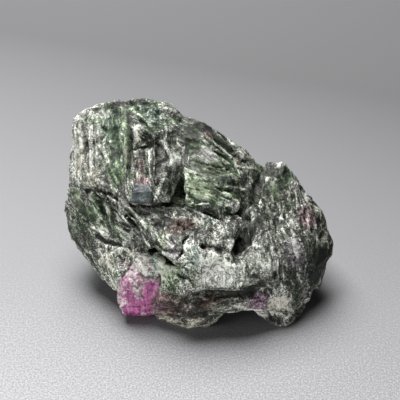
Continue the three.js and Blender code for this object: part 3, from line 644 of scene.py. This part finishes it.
def paint_shoulder(spot, line):
    """Green lenses, pale specks, a white cap with a painted highlight on the knob's top, and dark gaps
    of the shoulder.
    """
    spot((16.5, 11, 23.5), 4, 3, -0.6, LEVEL)
    # pale cap on the knob's top, partly a painted highlight
    spot((20.3, 5.9, 27.3), 2.6, 0.8, 0.8, LEVEL)
    spot((16.5, 7, 25.5), 6, 4, -0.6, LEVEL)
    spot((23.6, 2.4, 24.4), 5, 2.6, 0.5)
    spot((18.5, 4.9, 26.5), 5, 2.6, -0.3, LEVEL, lime=0.3, smooth=0.8)
    spot((26.5, 1.8, 21.3), 3.4, 2.6, 0.9)
    spot((17.8, -3.6, 21.9), 4, 2.4, 0.6)
    spot((22, 4.4, 26.2), 3.6, 2.4, -0.7, rim=0.3, green=0.7, smooth=0.7)
    spot((17.3, 3.5, 25.2), 2, 1.2, 0.9, LEVEL, rise=0.1)
    spot((16.5, 0.8, 24.3), 4.6, 2.2, -0.8, rim=0.3, green=0.9, smooth=0.8)
    spot((18.7, 0.7, 23.9), 4.8, 2.6, 0.12, rise=0.2, lime=0.7, smooth=0.8)
    spot((20.5, 2.5, 25), 4, 3, -0.7, green=0.7, smooth=0.6)
    spot((15.7, -1.7, 22.2), 1.6, 1, 0.9)
    line(0.6, 0.6, (15.6, -2.9, 21.6), (21.2, -5.7, 19.6), (24.7, -9.6, 17), rise=0.3)
    spot((18.9, -8, 19.1), 6, 4, 0.2)
    spot((17.5, -6.2, 20.2), 4.5, 3, -0.6)
    spot((14.8, -11.6, 18), 7, 3.4, -0.5)
    spot((16.1, -2.6, 22.6), 3.4, 2, -0.6)
    spot((23.3, -8.4, 18.2), 5, 3, -0.4)
    spot((29.5, -6.6, 14.7), 6, 3.4, 0.65, SIDE)
    line(2.2, -0.6, (25.7, -9.6, 16.8), (25.8, -13.8, 13.2))
    spot((23.4, -5.6, 19.6), 4.5, 2.6, 0.6)


def paint_right(spot, line):
    """The right-hand side and the slope in front of it."""
    spot((26.6, -3.4, 18.8), 7, 5, 0.3, soft=0.6, pink=0.7, grey=0.8)
    spot((31.5, -2.5, 15.3), 9, 3.4, 0.3, SIDE, rust=0.25)
    spot((29.8, 0, 18.5), 4, 2.6, 0.7, SIDE)
    for across in (0, 1.4):
        line(0.8, 1, (31.4 - across, -4, 15.2), (28.8 - across, -9.5, 13.2), rise=0.2, lime=0.5)
    for middle in ((27.9, -6, 17.3), (30.2, -2.6, 17)):
        spot(middle, 2, 1.2, -0.9, SIDE, rise=-0.3)
    spot((30.5, -8.9, 11.6), 4.4, 3, -1, SIDE, rim=0.3, green=0.5, smooth=0.6)
    spot((28.8, -11.6, 9.8), 11, 5.5, -0.6, SIDE, green=0.4)
    spot((23, -11, 15.8), 5, 3, rise=0.7)
    spot((23, -11.2, 15.4), 9, 4.6, 0.9, soft=0.6, lilac=0.6)
    spot((21.5, -15.5, 12), 8, 5.5, -0.7)
    spot((18.5, -17, 12.6), 2.4, 1.6, -0.8, rise=-0.3)
    spot((20.2, -16.6, 12), 1.6, 1.2, 0.8, rise=0.2)
    spot((17.2, -16.6, 14), 4, 3, 0.5)
    spot((20.2, -13.9, 15.3), 3.4, 3, 0.4)


def paint_seam(spot, line):
    """Cracks and edges along the long seam."""
    line(0.9, -1, (-27.4, 1.9, 23.1), (-24.1, 0.7, 23.8), (-21, -1, 24.2), rise=-0.5)
    line(0.6, -0.7, (-23.1, 1.2, 25.3), (-19.4, -2.7, 24.7), (-16.5, -5.6, 22.7), (-13.4, -9.9, 21.3),
         (-10.9, -14, 20.2), rise=-0.2)
    line(1.4, -0.4, (-21, -0.4, 24.7), (-17.4, -5.2, 23.6), (-14.4, -8.9, 21.8), (-11.4, -13.6, 20.8),
         smooth=0.6)
    line(1.6, -1, (-22, -0.4, 22.8), (-20.6, -2.6, 20.4), (-20.9, -4.6, 19), (-17, -7, 18.5), rise=-0.4)
    line(1.2, -0.9, (-27.2, 1.8, 23.2), (-23.3, 0.3, 24.4), (-20.5, -2.4, 23.2), (-17.5, -6, 22),
         (-14.6, -10.4, 20.9), (-11.7, -13.4, 20.3), (-9, -15.3, 19.4), rise=-0.2)
    line(0.9, 0.4, (-21.6, 1.4, 25.3), (-18.4, -1.6, 24.4), (-15, -6.4, 23.7), (-12.3, -11, 21.6),
         rise=0.2, lime=0.3)


def paint_flank_upper(spot, line):
    """Upper half of the left flank."""
    spot((-26.2, 0.8, 21.4), 1.8, 1.2, 1, rise=0.2)
    spot((-29.8, 1.6, 20.4), 6, 3.4, lime=0.5, smooth=0.8)
    spot((-27.2, -1.5, 18.8), 7, 4, -0.3, rim=0.2, green=0.7, smooth=0.7)
    line(0.6, 0.6, (-30.7, -0.4, 15.6), (-28.1, -2.4, 16), (-25.4, -4.3, 16.1), (-23.3, -6.3, 16.2),
         rise=0.3)
    spot((-22.6, -6.2, 16.3), 4, 2, 0.5, rise=0.3, smooth=0.4)
    spot((-21.1, -2.4, 20.3), 6, 2, 0.45)
    spot((-24.2, -0.5, 20.3), 5, 1.4, -0.8, rise=-0.2)
    spot((-22.2, -3.6, 17.7), 5, 2, -0.7, rise=-0.2)
    spot((-18.2, -7, 18), 7, 3.4, 0.7)
    spot((-26.5, -1, 19.6), 4, 2, 0.5)
    line(1.2, -1, (-25.2, -5.6, 14.9), (-22.5, -7.9, 15), (-19, -9.2, 15.1), rise=-0.4)


def paint_flank_lower(spot, line):
    """Left edge and lower half of the left flank."""
    line(0.8, -0.8, (-33.2, 1.8, 15.4), (-31.2, -2.5, 10.8), (-27.8, -7.1, 10.2), (-24.8, -9.6, 7.2),
         rise=-0.2)
    line(1.4, 0.4, (-24.1, -10.2, 10.4), (-21, -10.6, 13.2), (-18.5, -10.6, 14.8), rise=0.2)
    spot((-22, -12, 11), 7, 5, cream=0.4, lime=0.3)
    spot((-16.5, -11.5, 14), 2, 1.6, 0.5, cream=0.7)
    spot((-17.4, -5.4, 23.1), 3.4, 2.4, -0.4)
    spot((-26, -6.2, 12.6), 8, 3.6, -0.6, green=0.3)
    spot((-32.4, 0.8, 15.2), 6, 3, -0.6)
    line(1.8, -0.5, (-29.6, -0.4, 17.6), (-28.3, -3.5, 14.4), (-25.5, -7.5, 12), (-23.1, -11.5, 9.7))


def paint_back(spot, line):
    """Green lenses, a pale vein and brown stains on the side away from the crystals."""
    spot((-13, 21.5, 29), 13, 4.5, -0.4, rise=-0.2, rim=0.3, green=1, smooth=0.7)
    spot((2, 20.5, 20), 12, 3.6, -0.4, rise=-0.2, rim=0.3, teal=0.7, smooth=0.8)
    spot((-22, 19, 18), 9, 5, lime=0.6, smooth=0.5)
    spot((14, 15.5, 14), 10, 5, -0.3, rust=0.6)
    spot((-5, 21.5, 12), 16, 4, -0.4)
    spot((24, 10, 16), 8, 4, 0.5, grey=1)
    spot((-29, 10, 14), 9, 5, 0.3, cream=0.5)
    line(2, 0.5, (-24, 20.5, 24), (-12, 22.5, 20), (0, 20.5, 12.5), (12, 17, 6), rise=0.2, cream=0.4)
    line(1.4, -0.7, (-16, 19, 8), (-4, 20.5, 5), (8, 17.5, 3), rise=-0.3)
    line(1.2, -0.7, (8, 15.5, 24), (17, 12, 20), (25, 8, 18), rise=-0.3)


def paint_rock(painter):
    """Paint every area of the rock; its patches lie along the fibre named first."""
    for fibre, *areas in (
        (CROWN, paint_crown_left, paint_crown_faces, paint_crown_middle, paint_crown_blades,
         paint_crown_arch),
        (ROOF, paint_roof_top, paint_roof_blades, paint_roof_lenses),
        (LEVEL, paint_channel, paint_terrace, paint_front_green, paint_front_lip,
         paint_front_low),
        (RIGHT, paint_shoulder, paint_right),
        (SEAM, paint_seam, paint_flank_upper, paint_flank_lower),
        (BACK, paint_back),
    ):
        painter.fibre = fibre
        for paint in areas:
            paint(painter.spot, painter.line)


# ---- the rock's shape
def fibre_axes(direction):
    """The fibre and two directions across it."""
    along = unit(direction)
    side = unit(np.cross(along, (0.13, 0.21, 1.0)))
    return np.stack([along, side, np.cross(along, side)])


def region_shares(points):
    """How much each region has of each point, and the region that has most."""
    ragged = np.stack([fractal(points / 4.2, 40 + k, 2) for k in range(3)], axis=1)
    probe = points + ragged * 2.2
    far = np.stack([np.linalg.norm(probe - np.array(r.middle), axis=1) for r in REGIONS], axis=1)
    painted_light_falloff = far.min(axis=1, keepdims=True)
    share = np.exp(-(far - painted_light_falloff) / 1.6)
    return share / share.sum(axis=1, keepdims=True), far.argmin(axis=1)


def grain_of(points, owner):
    """Coordinates along and across the fibre of each point's own region, in mm."""
    grain = np.zeros_like(points)
    bend = np.stack([noise(points / 7.0, 61 + k) for k in range(3)], axis=1) * 1.7
    bend += np.stack([noise(points / 2.2, 65 + k) for k in range(3)], axis=1) * 0.3
    for i, region in enumerate(REGIONS):
        mine = owner == i
        grain[mine] = (points[mine] + bend[mine]) @ fibre_axes(region.fibre).T + 13.7 * i
    return grain


def splinters(grain, kind, seed):
    """Broken blades lying along the fibre: each its own height and its own lean."""
    across, along, step, lean = kind
    number, way, tilt = cells(grain / np.array([along, across, across]), seed)
    return step * (number - 0.5) * 2 + lean * (way * tilt).sum(axis=1)


def ridges(grain, size, seed):
    """Sharp crests along the fibre, from -1 to 1."""
    return 1 - 2 * np.abs(noise(grain / np.array(size), seed))


def relief(points, grain, strength):
    """How far the splintered surface stands off the CAD one, in mm."""
    patchy = 0.65 + 0.55 * fractal(points / 6.0, 91, 2)
    height = splinters(grain, FACET, 3)
    height += splinters(grain + 5.1, BLADE, 23) * patchy
    height += splinters(grain + 2.3, CHIP, 33)
    crests = ridges(grain, LONG_RIDGE, 71) + 0.5 * ridges(grain, SHORT_RIDGE, 73)
    height += RIDGE * crests * patchy
    height *= strength
    height += LUMP * fractal(points / 4.0, 81, 2)
    return height + PIMPLE * fractal(points / 0.9, 85, 2)


def stand_off(mesh, points, edges, rounds):
    """How far each point stands above (+) or below (-) the rock round it, in mm."""
    return ((points - relax(points, edges, rounds)) * read(mesh.vertices, "normal")).sum(axis=1)


def make_rock():
    rock = fine_copy("rock", "matrix", VOXEL)
    mesh = rock.data
    points = read_points(mesh)
    edges = read_edges(mesh)
    out = soft_normals(mesh, edges, 6)
    shares, owner = region_shares(points)

    def mixed(trait):
        return shares @ np.array([getattr(region, trait) for region in REGIONS])

    grain = grain_of(points, owner)
    painter = Painter(points, LEVEL)
    paint_rock(painter)
    height = relief(points, grain, mixed("splintered"))
    height *= 1 - 0.6 * painter.get("smooth")
    height = relax(height, edges, 1) + painter.rise
    # the flat that the rock rests on stays flat
    moved = points + out * (height * smoothstep(0.0, 1.2, points[:, 2]))[:, None]
    moved[:, 2] = np.maximum(moved[:, 2], 0.0)
    write_points(mesh, moved)
    green = np.maximum(mixed("green"), painter.get("green")) * (1 - painter.get("grey"))
    store(mesh, "grain", grain)
    # how far each point stands out of the rock round it, finely and widely; the nodes turn it into
    # painted shade in the hollows
    store(mesh, "relief_fine", stand_off(mesh, moved, edges, 4))
    store(mesh, "relief_wide", stand_off(mesh, moved, edges, 40))
    store(mesh, "tone", mixed("pale") + 0.45 * painter.get("pale") - 0.42 * painter.get("dark"))
    store(mesh, "green", green)
    store(mesh, "streak", mixed("streaked"))
    for name in ("smooth", *TINTS):
        store(mesh, name, painter.get(name))
    return rock


# ---- node helpers
class Graph:
    """Short hand for building one material's nodes. A value is a number or the
    output of another node, and sizes are given as how many fit in a metre."""

    def __init__(self, name):
        self.material = bpy.data.materials.new(name)
        self.material.use_nodes = True
        self.tree = self.material.node_tree
        self.tree.nodes.clear()

    def node(self, kind, settings=None, **inputs):
        """A node with its own settings, and inputs named with _ for a space."""
        made = self.tree.nodes.new("ShaderNode" + kind)
        for key, value in (settings or {}).items():
            setattr(made, key, value)
        self.plug((made.inputs[key.replace("_", " ")] for key in inputs), inputs.values())
        return made

    def plug(self, sockets, values):
        for socket, value in zip(sockets, values):
            if isinstance(value, bpy.types.NodeSocket):
                self.tree.links.new(value, socket)
            else:
                socket.default_value = value

    def math(self, operation, *values, kind="Math", **settings):
        made = self.node(kind, {"operation": operation, **settings})
        self.plug(made.inputs, values)
        return made.outputs[0]

    def add(self, total, *parts):
        """The total plus, for each value and amount, the amount times how far the
        value is from its middle of 0.5."""
        for value, amount in parts:
            off = self.math("SUBTRACT", value, 0.5)
            total = self.math("MULTIPLY_ADD", off, amount, total)
        return total

    def attribute(self, name, output="Fac"):
        return self.node("Attribute", {"attribute_name": name}).outputs[output]

    def place(self):
        return self.node("TexCoord").outputs["Object"]

    def scaled(self, vector, scale):
        return self.node("Mapping", Vector=vector, Scale=scale).outputs["Vector"]

    def bent(self, vector, place, scale, amount):
        """The vector moved to and fro by a soft noise."""
        wave = self.noise(place, scale, 1.0, 0.5, output="Color")
        wave = self.math("SUBTRACT", wave, (0.5,) * 3, kind="VectorMath")
        return self.math("MULTIPLY_ADD", wave, (amount,) * 3, vector, kind="VectorMath")

    def noise(self, vector, scale, detail, rough, warp=0.0, output="Fac"):
        made = self.node("TexNoise", Vector=vector, Scale=scale, Detail=detail,
                         Roughness=rough, Distortion=warp)
        return made.outputs[output]

    def cells(self, vector, scale=1.0):
        """A random number for each of the scattered cells."""
        made = self.node("TexVoronoi", Vector=vector, Scale=scale)
        return self.node("SeparateColor", Color=made.outputs["Color"]).outputs[0]

    def cell_edges(self, vector):
        """How far it is to the nearest edge between two cells."""
        made = self.node("TexVoronoi", {"feature": "DISTANCE_TO_EDGE"}, Vector=vector, Scale=1.0)
        return made.outputs["Distance"]

    def range(self, value, low, high, to_low=0.0, to_high=1.0, kind="SMOOTHSTEP"):
        made = self.node(
            "MapRange", {"interpolation_type": kind}, Value=value, From_Min=low,
            From_Max=high, To_Min=to_low, To_Max=to_high,
        )
        return made.outputs["Result"]

    def mix(self, factor, a, b):
        """Colour a where the factor is 0, colour b where it is 1."""
        made = self.node("Mix", {"data_type": "RGBA"}, Factor=factor)
        self.plug(made.inputs[6:8], (a, b))     # the colours' sockets
        return made.outputs[2]

    def shades(self, tone, colours):
        """Colours from dark to light, evenly spread over a tone of 0 to 1."""
        made = self.node("ValToRGB", Fac=tone)
        stops = made.color_ramp.elements
        while len(stops) < len(colours):
            stops.new(0.5)
        for k, (stop, colour) in enumerate(zip(stops, colours)):
            stop.position = k / (len(colours) - 1)
            stop.color = rgb(*colour)
        return made.outputs["Color"]

    def bump(self, height, distance):
        return self.node("Bump", Height=height, Distance=distance, Strength=0.8).outputs["Normal"]

    def finish(self, **inputs):
        shader = self.node("BsdfPrincipled", **inputs)
        self.node("OutputMaterial", Surface=shader.outputs[0])
        return self.material


def rgb(r, g, b):
    """Colour on a 0 to 255 scale, as the nodes want it."""
    def linear(c):
        c /= 255.0
        return c / 12.92 if c <= 0.04045 else ((c + 0.055) / 1.055) ** 2.4
    return (linear(r), linear(g), linear(b), 1.0)


# ---- the rock's looks
# dark to light colours of each kind of mineral in the rock
GREY = [(27, 28, 24), (66, 67, 61), (116, 118, 109), (169, 171, 162), (240, 242, 234)]
GREEN = [(20, 26, 17), (47, 60, 42), (86, 105, 77), (137, 155, 125), (206, 216, 194)]
RUST = [(29, 21, 16), (66, 51, 43), (110, 91, 80), (157, 140, 127), (210, 200, 190)]
TINTS = {
    "teal": [(19, 27, 23), (46, 60, 52), (84, 101, 91), (134, 151, 141), (202, 212, 204)],
    "lime": [(28, 33, 22), (60, 70, 50), (104, 118, 90), (154, 166, 138), (212, 218, 199)],
    "rust": RUST,
    "pink": [(46, 33, 35), (92, 72, 74), (146, 119, 120), (188, 168, 168), (228, 216, 214)],
    "lilac": [(34, 31, 34), (77, 72, 77), (129, 122, 127), (178, 172, 176), (226, 222, 222)],
    "purple": [(34, 17, 30), (72, 42, 64), (114, 81, 104), (158, 133, 148), (212, 200, 208)],
    "cream": [(40, 37, 29), (88, 84, 70), (140, 137, 121), (188, 185, 169), (226, 223, 210)],
}
# how many cells fit in a millimetre, along and across the fibre
BLADES = (0.13, 0.75, 0.75)
THREADS = (0.36, 1.9, 1.9)
# lines between the cells: the cells, the bundles of them that are light or dark, how
# far from the edge a line fades, where a bundle turns, and how dark and how light
LINES = (
    (BLADES, (0.1, 0.45, 0.45), (0.02, 0.1), (0.4, 0.58), (-0.22, 0.3)),
    (THREADS, (0.2, 0.9, 0.9), (0.03, 0.16), (0.4, 0.6), (-0.16, 0.22)),
)


def rock_lines(g, bent):
    """Thin lines round the blades and threads, light in some places, dark in others."""
    lines = 0.0
    for cell, bundle, fade, turn, tones in LINES:
        edge = g.range(g.cell_edges(g.scaled(bent, cell)), *fade, 1, 0)
        light = g.range(g.noise(g.scaled(bent, bundle), 1, 2, 0.6), *turn, *tones)
        lines = g.math("MULTIPLY_ADD", edge, light, lines)
    return lines


def rock_detail(g, streak, broad, fine, thread, fleck, speck):
    """Streaks along the fibre, with more grit where there are fewer streaks, and painted glints of mica
    on the brightest few flecks.
    """
    streaks = g.math("MULTIPLY", g.add(0.0, (broad, 0.5), (fine, 1.1)), streak)
    grit_and_glints = g.add(0.0, (fleck, 0.6), (speck, 0.65))
    # the brightest few flecks turn pale: painted glints of mica
    grit_and_glints = g.math("ADD", grit_and_glints, g.range(fleck, 0.92, 0.95, 0.0, 0.15))
    grit_share = g.math("MULTIPLY_ADD", streak, -0.7, 1.3)
    return g.math("MULTIPLY_ADD", grit_and_glints, grit_share, g.add(streaks, (thread, 0.24)))


def rock_colour(g, tone, place, blade, thread, speck):
    """Grey and green mineral, with the other tints where they are painted."""
    tint = g.noise(place, 250.0, 2.0, 0.5)
    tint = g.add(g.attribute("green"), (tint, 1.0), (blade, 0.4))
    colour = g.mix(g.range(tint, 0.15, 0.8), g.shades(tone, GREY), g.shades(tone, GREEN))
    for name, colours in TINTS.items():
        amount = g.add(g.attribute(name), (thread, 0.4), (speck, 0.4))
        colour = g.mix(g.range(amount, 0.15, 0.75), colour, g.shades(tone, colours))
    return colour


def rock_material():
    g = Graph("rock")
    grain = g.attribute("grain", "Vector")
    place = g.place()
    streak = g.attribute("streak")
    smooth = g.attribute("smooth")
    bent = g.bent(grain, place, 350.0, 0.6)
    broad = g.noise(g.scaled(grain, (0.06, 0.6, 0.6)), 1, 2, 0.6, 0.2)
    fine = g.noise(g.scaled(bent, (0.18, 2.6, 2.6)), 1.0, 2.0, 0.7)
    blade = g.cells(g.scaled(bent, BLADES))
    thread = g.cells(g.scaled(bent, THREADS))
    fleck = g.cells(place, 3400.0)
    speck = g.noise(place, 2300.0, 1.5, 0.7)
    patch = g.noise(place, 300.0, 3.0, 0.6)
    detail = rock_detail(g, streak, broad, fine, thread, fleck, speck)
    # clear, smooth mineral shows less of it
    calm = g.math("MULTIPLY_ADD", smooth, -0.6, 1.0)
    tone = g.math("MULTIPLY_ADD", detail, calm, g.attribute("tone"))
    faint = g.math("MULTIPLY_ADD", smooth, -0.3, 1.0)
    tone = g.math("MULTIPLY_ADD", rock_lines(g, bent), faint, tone)
    tone = g.add(tone, (blade, 0.25), (patch, 0.2))
    # darker in hollows and creases, paler on crests: painted shade in the hollows, partly the rock's
    # darker mineral there, and the rock's own whiter ridges on the crests
    hollow_shade_and_pale_crest = g.range(g.attribute("relief_fine"), -0.12, 0.12, -0.14, 0.12)
    tone = g.math("ADD", tone, hollow_shade_and_pale_crest)
    hollow_shade_and_pale_crest = g.range(g.attribute("relief_wide"), -0.9, 0.9, -0.1, 0.06)
    tone = g.math("ADD", tone, hollow_shade_and_pale_crest, use_clamp=True)
    rough = g.range(fleck, 0.0, 1.0, 0.7, 0.42, kind="LINEAR")
    height = g.math("MULTIPLY", fine, streak)
    for value, amount in ((speck, 0.5), (fleck, 0.25), (thread, 0.5)):
        height = g.math("MULTIPLY_ADD", value, amount, height)
    return g.finish(
        Base_Color=rock_colour(g, tone, place, blade, thread, speck),
        Roughness=g.math("MULTIPLY_ADD", smooth, 0.1, rough),
        Normal=g.bump(g.math("MULTIPLY", height, calm), 0.0002),
        Specular_IOR_Level=0.35,
    )


rock = make_rock()
rock.data.materials.append(rock_material())
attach(rock, "root")
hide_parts("matrix")


# ---- the set crystals
def paint_ruby(spot, line):
    """A sugary crust, a painted highlight down the left side, clear corners, a darker foot and a brown
    stain.
    """
    # sugary crust over the top and down the middle, and a pale crust down the left side that is also a
    # painted highlight
    spot((-15, -14.5, 11.8), 10, 6.5, 0, LEVEL, soft=0.3, crust=0.9)
    spot((-14, -17, 10.4), 6.5, 2.6, 0, LEVEL, soft=0.5, crust=0.8, deep=-1)
    spot((-14.1, -17.8, 8.8), 6, 2.6, soft=0.6, crust=0.9, rust=0.4)
    spot((-19, -17, 6.5), 13, 4, crust=1, deep=-1)
    # clear corners and the darker foot
    spot((-16.9, -18, 8.2), 4.5, 1.5, deep=0.4)
    spot((-11.4, -17.6, 9.2), 4, 2.2, deep=0.9)
    spot((-13, -18.6, 5), 7, 5, 0, LEVEL, soft=0.7, deep=0.35)
    line(1.1, 0, (-18.4, -18.6, 3.6), (-14, -19.3, 3.6), (-11, -19.2, 4.4), rise=0.35, deep=-1)
    spot((-19.3, -18, 1.6), 7, 2.6, rise=-0.8)
    spot((-15, -19, 1.8), 8, 3, 0, LEVEL, rise=0.5)
    line(2.2, 0, (-18, -19, 1.8), (-14, -19.6, 1.6), (-9.5, -19.4, 1.8), deep=0.6)
    line(0.9, 0, (-13.6, -19.4, 2.4), (-10.6, -19.3, 2.6), crust=0.7)
    # brown stain where it runs into the front rock
    spot((-9.2, -19, 5), 10, 4.4, soft=0.8, rust=0.8, deep=0.1)
    spot((-9.9, -16.8, 10.6), 5, 1.8, crust=0.9)


def paint_blue(spot, line):
    """A pink crust along the top edge, dark and light faces under it."""
    line(2.2, 0, (-16, -1.6, 28.6), (-11.5, -0.8, 28.9), crust=0.9)
    spot((-14.4, -3.2, 28), 6, 2.4, deep=0.7)
    spot((-12.4, -4.6, 26.4), 3, 2, deep=-0.9)
    line(0.8, 0, (-15.8, -4, 27.4), (-15.7, -4.6, 25.2), deep=-1)
    spot((-14, -4.8, 25.4), 3, 1.4, deep=0.8)
    line(0.8, 0, (-16, -4.8, 24.6), (-13.6, -5.4, 24.9), (-11.4, -5, 24.6), crust=0.35)


def make_crystal(name, node, axis, rounding, paint):
    """A crystal of the CAD model, grown to fill its socket, chipped and crusted."""
    crystal = fine_copy(name, node, CRYSTAL_VOXEL)
    mesh = crystal.data
    edges = read_edges(mesh)
    points = relax(read_points(mesh), edges, rounding)
    write_points(mesh, points)
    out = soft_normals(mesh, edges, 4)
    grain = points @ fibre_axes(axis).T
    painter = Painter(points, axis)
    paint(painter.spot, painter.line)
    height = splinters(grain, CRYSTAL_CHIP, 5) + 0.06 * fractal(points / 0.8, 85, 2)
    lump = cells(points / CRUST_GRAIN, 51)[0]
    height += painter.get("crust") * (CRUST_HEIGHT * lump + 0.05)
    height = relax(height, edges, 1) + painter.rise
    write_points(mesh, points + out * (SOCKET + height)[:, None])
    store(mesh, "grain", grain)
    for channel in ("crust", "deep", "rust"):
        store(mesh, channel, painter.get(channel))
    return crystal


RUBY = [(60, 18, 46), (122, 48, 98), (186, 92, 152), (222, 150, 200), (244, 220, 236)]
RUBY_CRUST = [(92, 60, 74), (140, 108, 120), (186, 164, 170), (216, 202, 204), (246, 240, 240)]
BLUE = [(20, 25, 28), (42, 49, 52), (74, 84, 84), (120, 133, 129), (206, 214, 210)]
BLUE_CRUST = [(60, 50, 56), (104, 88, 94), (150, 132, 136), (190, 174, 174), (236, 226, 224)]


def crystal_material(name, colours, crust_colours, rough):
    """Cloudy crystal, striped along its axis, with a crust of pale grains."""
    g = Graph(name)
    place = g.place()
    cloud = g.noise(place, 300.0, 3.0, 0.6, 0.5)
    stripe = g.noise(g.scaled(g.attribute("grain", "Vector"), (0.5, 2.4, 2.4)), 1, 2, 0.6)
    speck = g.noise(place, 2200.0, 2.0, 0.7)
    fleck = g.cells(place, 2600.0)
    lump = g.cells(place, 1300.0)
    tone = g.math("MULTIPLY_ADD", g.attribute("deep"), -0.3, 0.5)
    tone = g.add(tone, (cloud, 0.7), (stripe, 0.6), (speck, 0.6), (fleck, 0.2))
    crust = g.math("MULTIPLY", g.attribute("crust"), 1.2)
    crust = g.range(g.add(crust, (lump, 0.8), (fleck, 0.4), (speck, 0.8)), 0.42, 0.85)
    uneven = g.math("MULTIPLY", g.math("SUBTRACT", lump, 0.5), crust)
    tone = g.math("MULTIPLY_ADD", uneven, 0.6, tone)
    stain = g.range(g.add(g.attribute("rust"), (speck, 0.6)), 0.1, 0.9)
    colour = g.mix(stain, g.shades(tone, colours), g.shades(tone, RUST))
    return g.finish(
        Base_Color=g.mix(crust, colour, g.shades(tone, crust_colours)),
        Roughness=rough, Specular_IOR_Level=0.5,
        Normal=g.bump(g.math("MULTIPLY_ADD", fleck, 0.4, speck), 0.00015),
        Subsurface_Weight=0.12, Subsurface_Radius=(0.001, 0.0005, 0.0008), Subsurface_Scale=1.0,
    )


def make_crystals():
    ruby = make_crystal("ruby", "ruby_crystal", UPRIGHT, 3, paint_ruby)
    ruby.data.materials.append(crystal_material("ruby", RUBY, RUBY_CRUST, 0.4))
    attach(ruby, "root")
    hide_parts("ruby_crystal")
    blue = make_crystal("blue_grey", "blue_crystal", LEVEL, 6, paint_blue)
    blue.data.materials.append(crystal_material("blue_grey", BLUE, BLUE_CRUST, 0.5))
    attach(blue, "root")
    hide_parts("blue_crystal")


make_crystals()


# ---- stage, lights, camera
FLOOR = [(93, 93, 94), (144, 144, 146), (202, 202, 205)]
LIGHTS = (      # name, place, aimed at, size (all metres), power (watts)
    ("key", (-0.09, 0.3, 0.45), (0, 0, 0.01), (0.34, 0.34), 8.3),
    ("left", (-0.5, -0.16, 0.14), (0, 0, 0.02), (0.3, 0.2), 0.9),
    ("front", (-0.1, -0.6, 0.025), (0, 0, 0.01), (0.5, 0.04), 1.5),
)


def floor_material():
    """Grey grainy floor, darker and smoother towards the back and the right; the darkening is a painted
    light falloff.
    """
    g = Graph("floor")
    place = g.place()
    split = g.node("SeparateXYZ", Vector=place)
    # painted light falloff: the floor's colour is lighter towards the front and the left, darker
    # towards the back and the right
    painted_light_falloff = g.math("MULTIPLY_ADD", split.outputs["Y"], -4.2, 0.4)
    tone = g.math("MULTIPLY_ADD", split.outputs["X"], -1.3, painted_light_falloff, use_clamp=True)
    grit_and_glints = g.math("SUBTRACT", g.noise(place, 2300.0, 2.0, 0.75), 0.5)
    amount = g.range(split.outputs["Y"], -0.06, 0.03, 1.3, 0.1)
    tone = g.math("MULTIPLY_ADD", grit_and_glints, amount, tone, use_clamp=True)
    return g.finish(Base_Color=g.shades(tone, FLOOR), Roughness=0.85, Specular_IOR_Level=0.1)


def make_floor():
    half = FLOOR_HALF * MM
    mesh = bpy.data.meshes.new("floor")
    corners = [(-half, -half, 0), (half, -half, 0), (half, half, 0), (-half, half, 0)]
    mesh.from_pydata(corners, [], [(0, 1, 2, 3)])
    floor = new_object("floor", mesh)
    floor.data.materials.append(floor_material())


def area_light(name, place, target, size, power):
    data = bpy.data.lights.new(name, "AREA")
    data.shape = "RECTANGLE"
    data.size, data.size_y = size
    data.energy = power
    light = new_object(name, data)
    light.location = place
    aim = Vector(target) - Vector(place)
    light.rotation_euler = aim.to_track_quat("-Z", "Y").to_euler()


def make_studio():
    for light in LIGHTS:
        area_light(*light)
    world = bpy.data.worlds.new("studio")
    world.use_nodes = True
    background = world.node_tree.nodes["Background"]
    background.inputs["Color"].default_value = (1, 1, 1, 1)
    background.inputs["Strength"].default_value = 0.005
    bpy.context.scene.world = world


def make_camera():
    data = bpy.data.cameras.new("camera")
    data.lens = CAMERA_LENS
    data.sensor_width = CAMERA_SENSOR
    data.clip_start = 0.01
    camera = new_object("camera", data)
    tip = math.radians(CAMERA_ELEVATION)
    target = Vector(tuple(BASE + np.array(CAMERA_TARGET))) * MM
    back = Vector((0, -math.cos(tip), math.sin(tip)))
    camera.location = target + back * CAMERA_DISTANCE * MM
    camera.rotation_euler = (-back).to_track_quat("-Z", "Y").to_euler()
    bpy.context.scene.camera = camera


make_floor()
make_studio()
make_camera()
bpy.context.scene.view_settings.view_transform = "Standard"
bpy.context.scene.view_settings.look = "None"
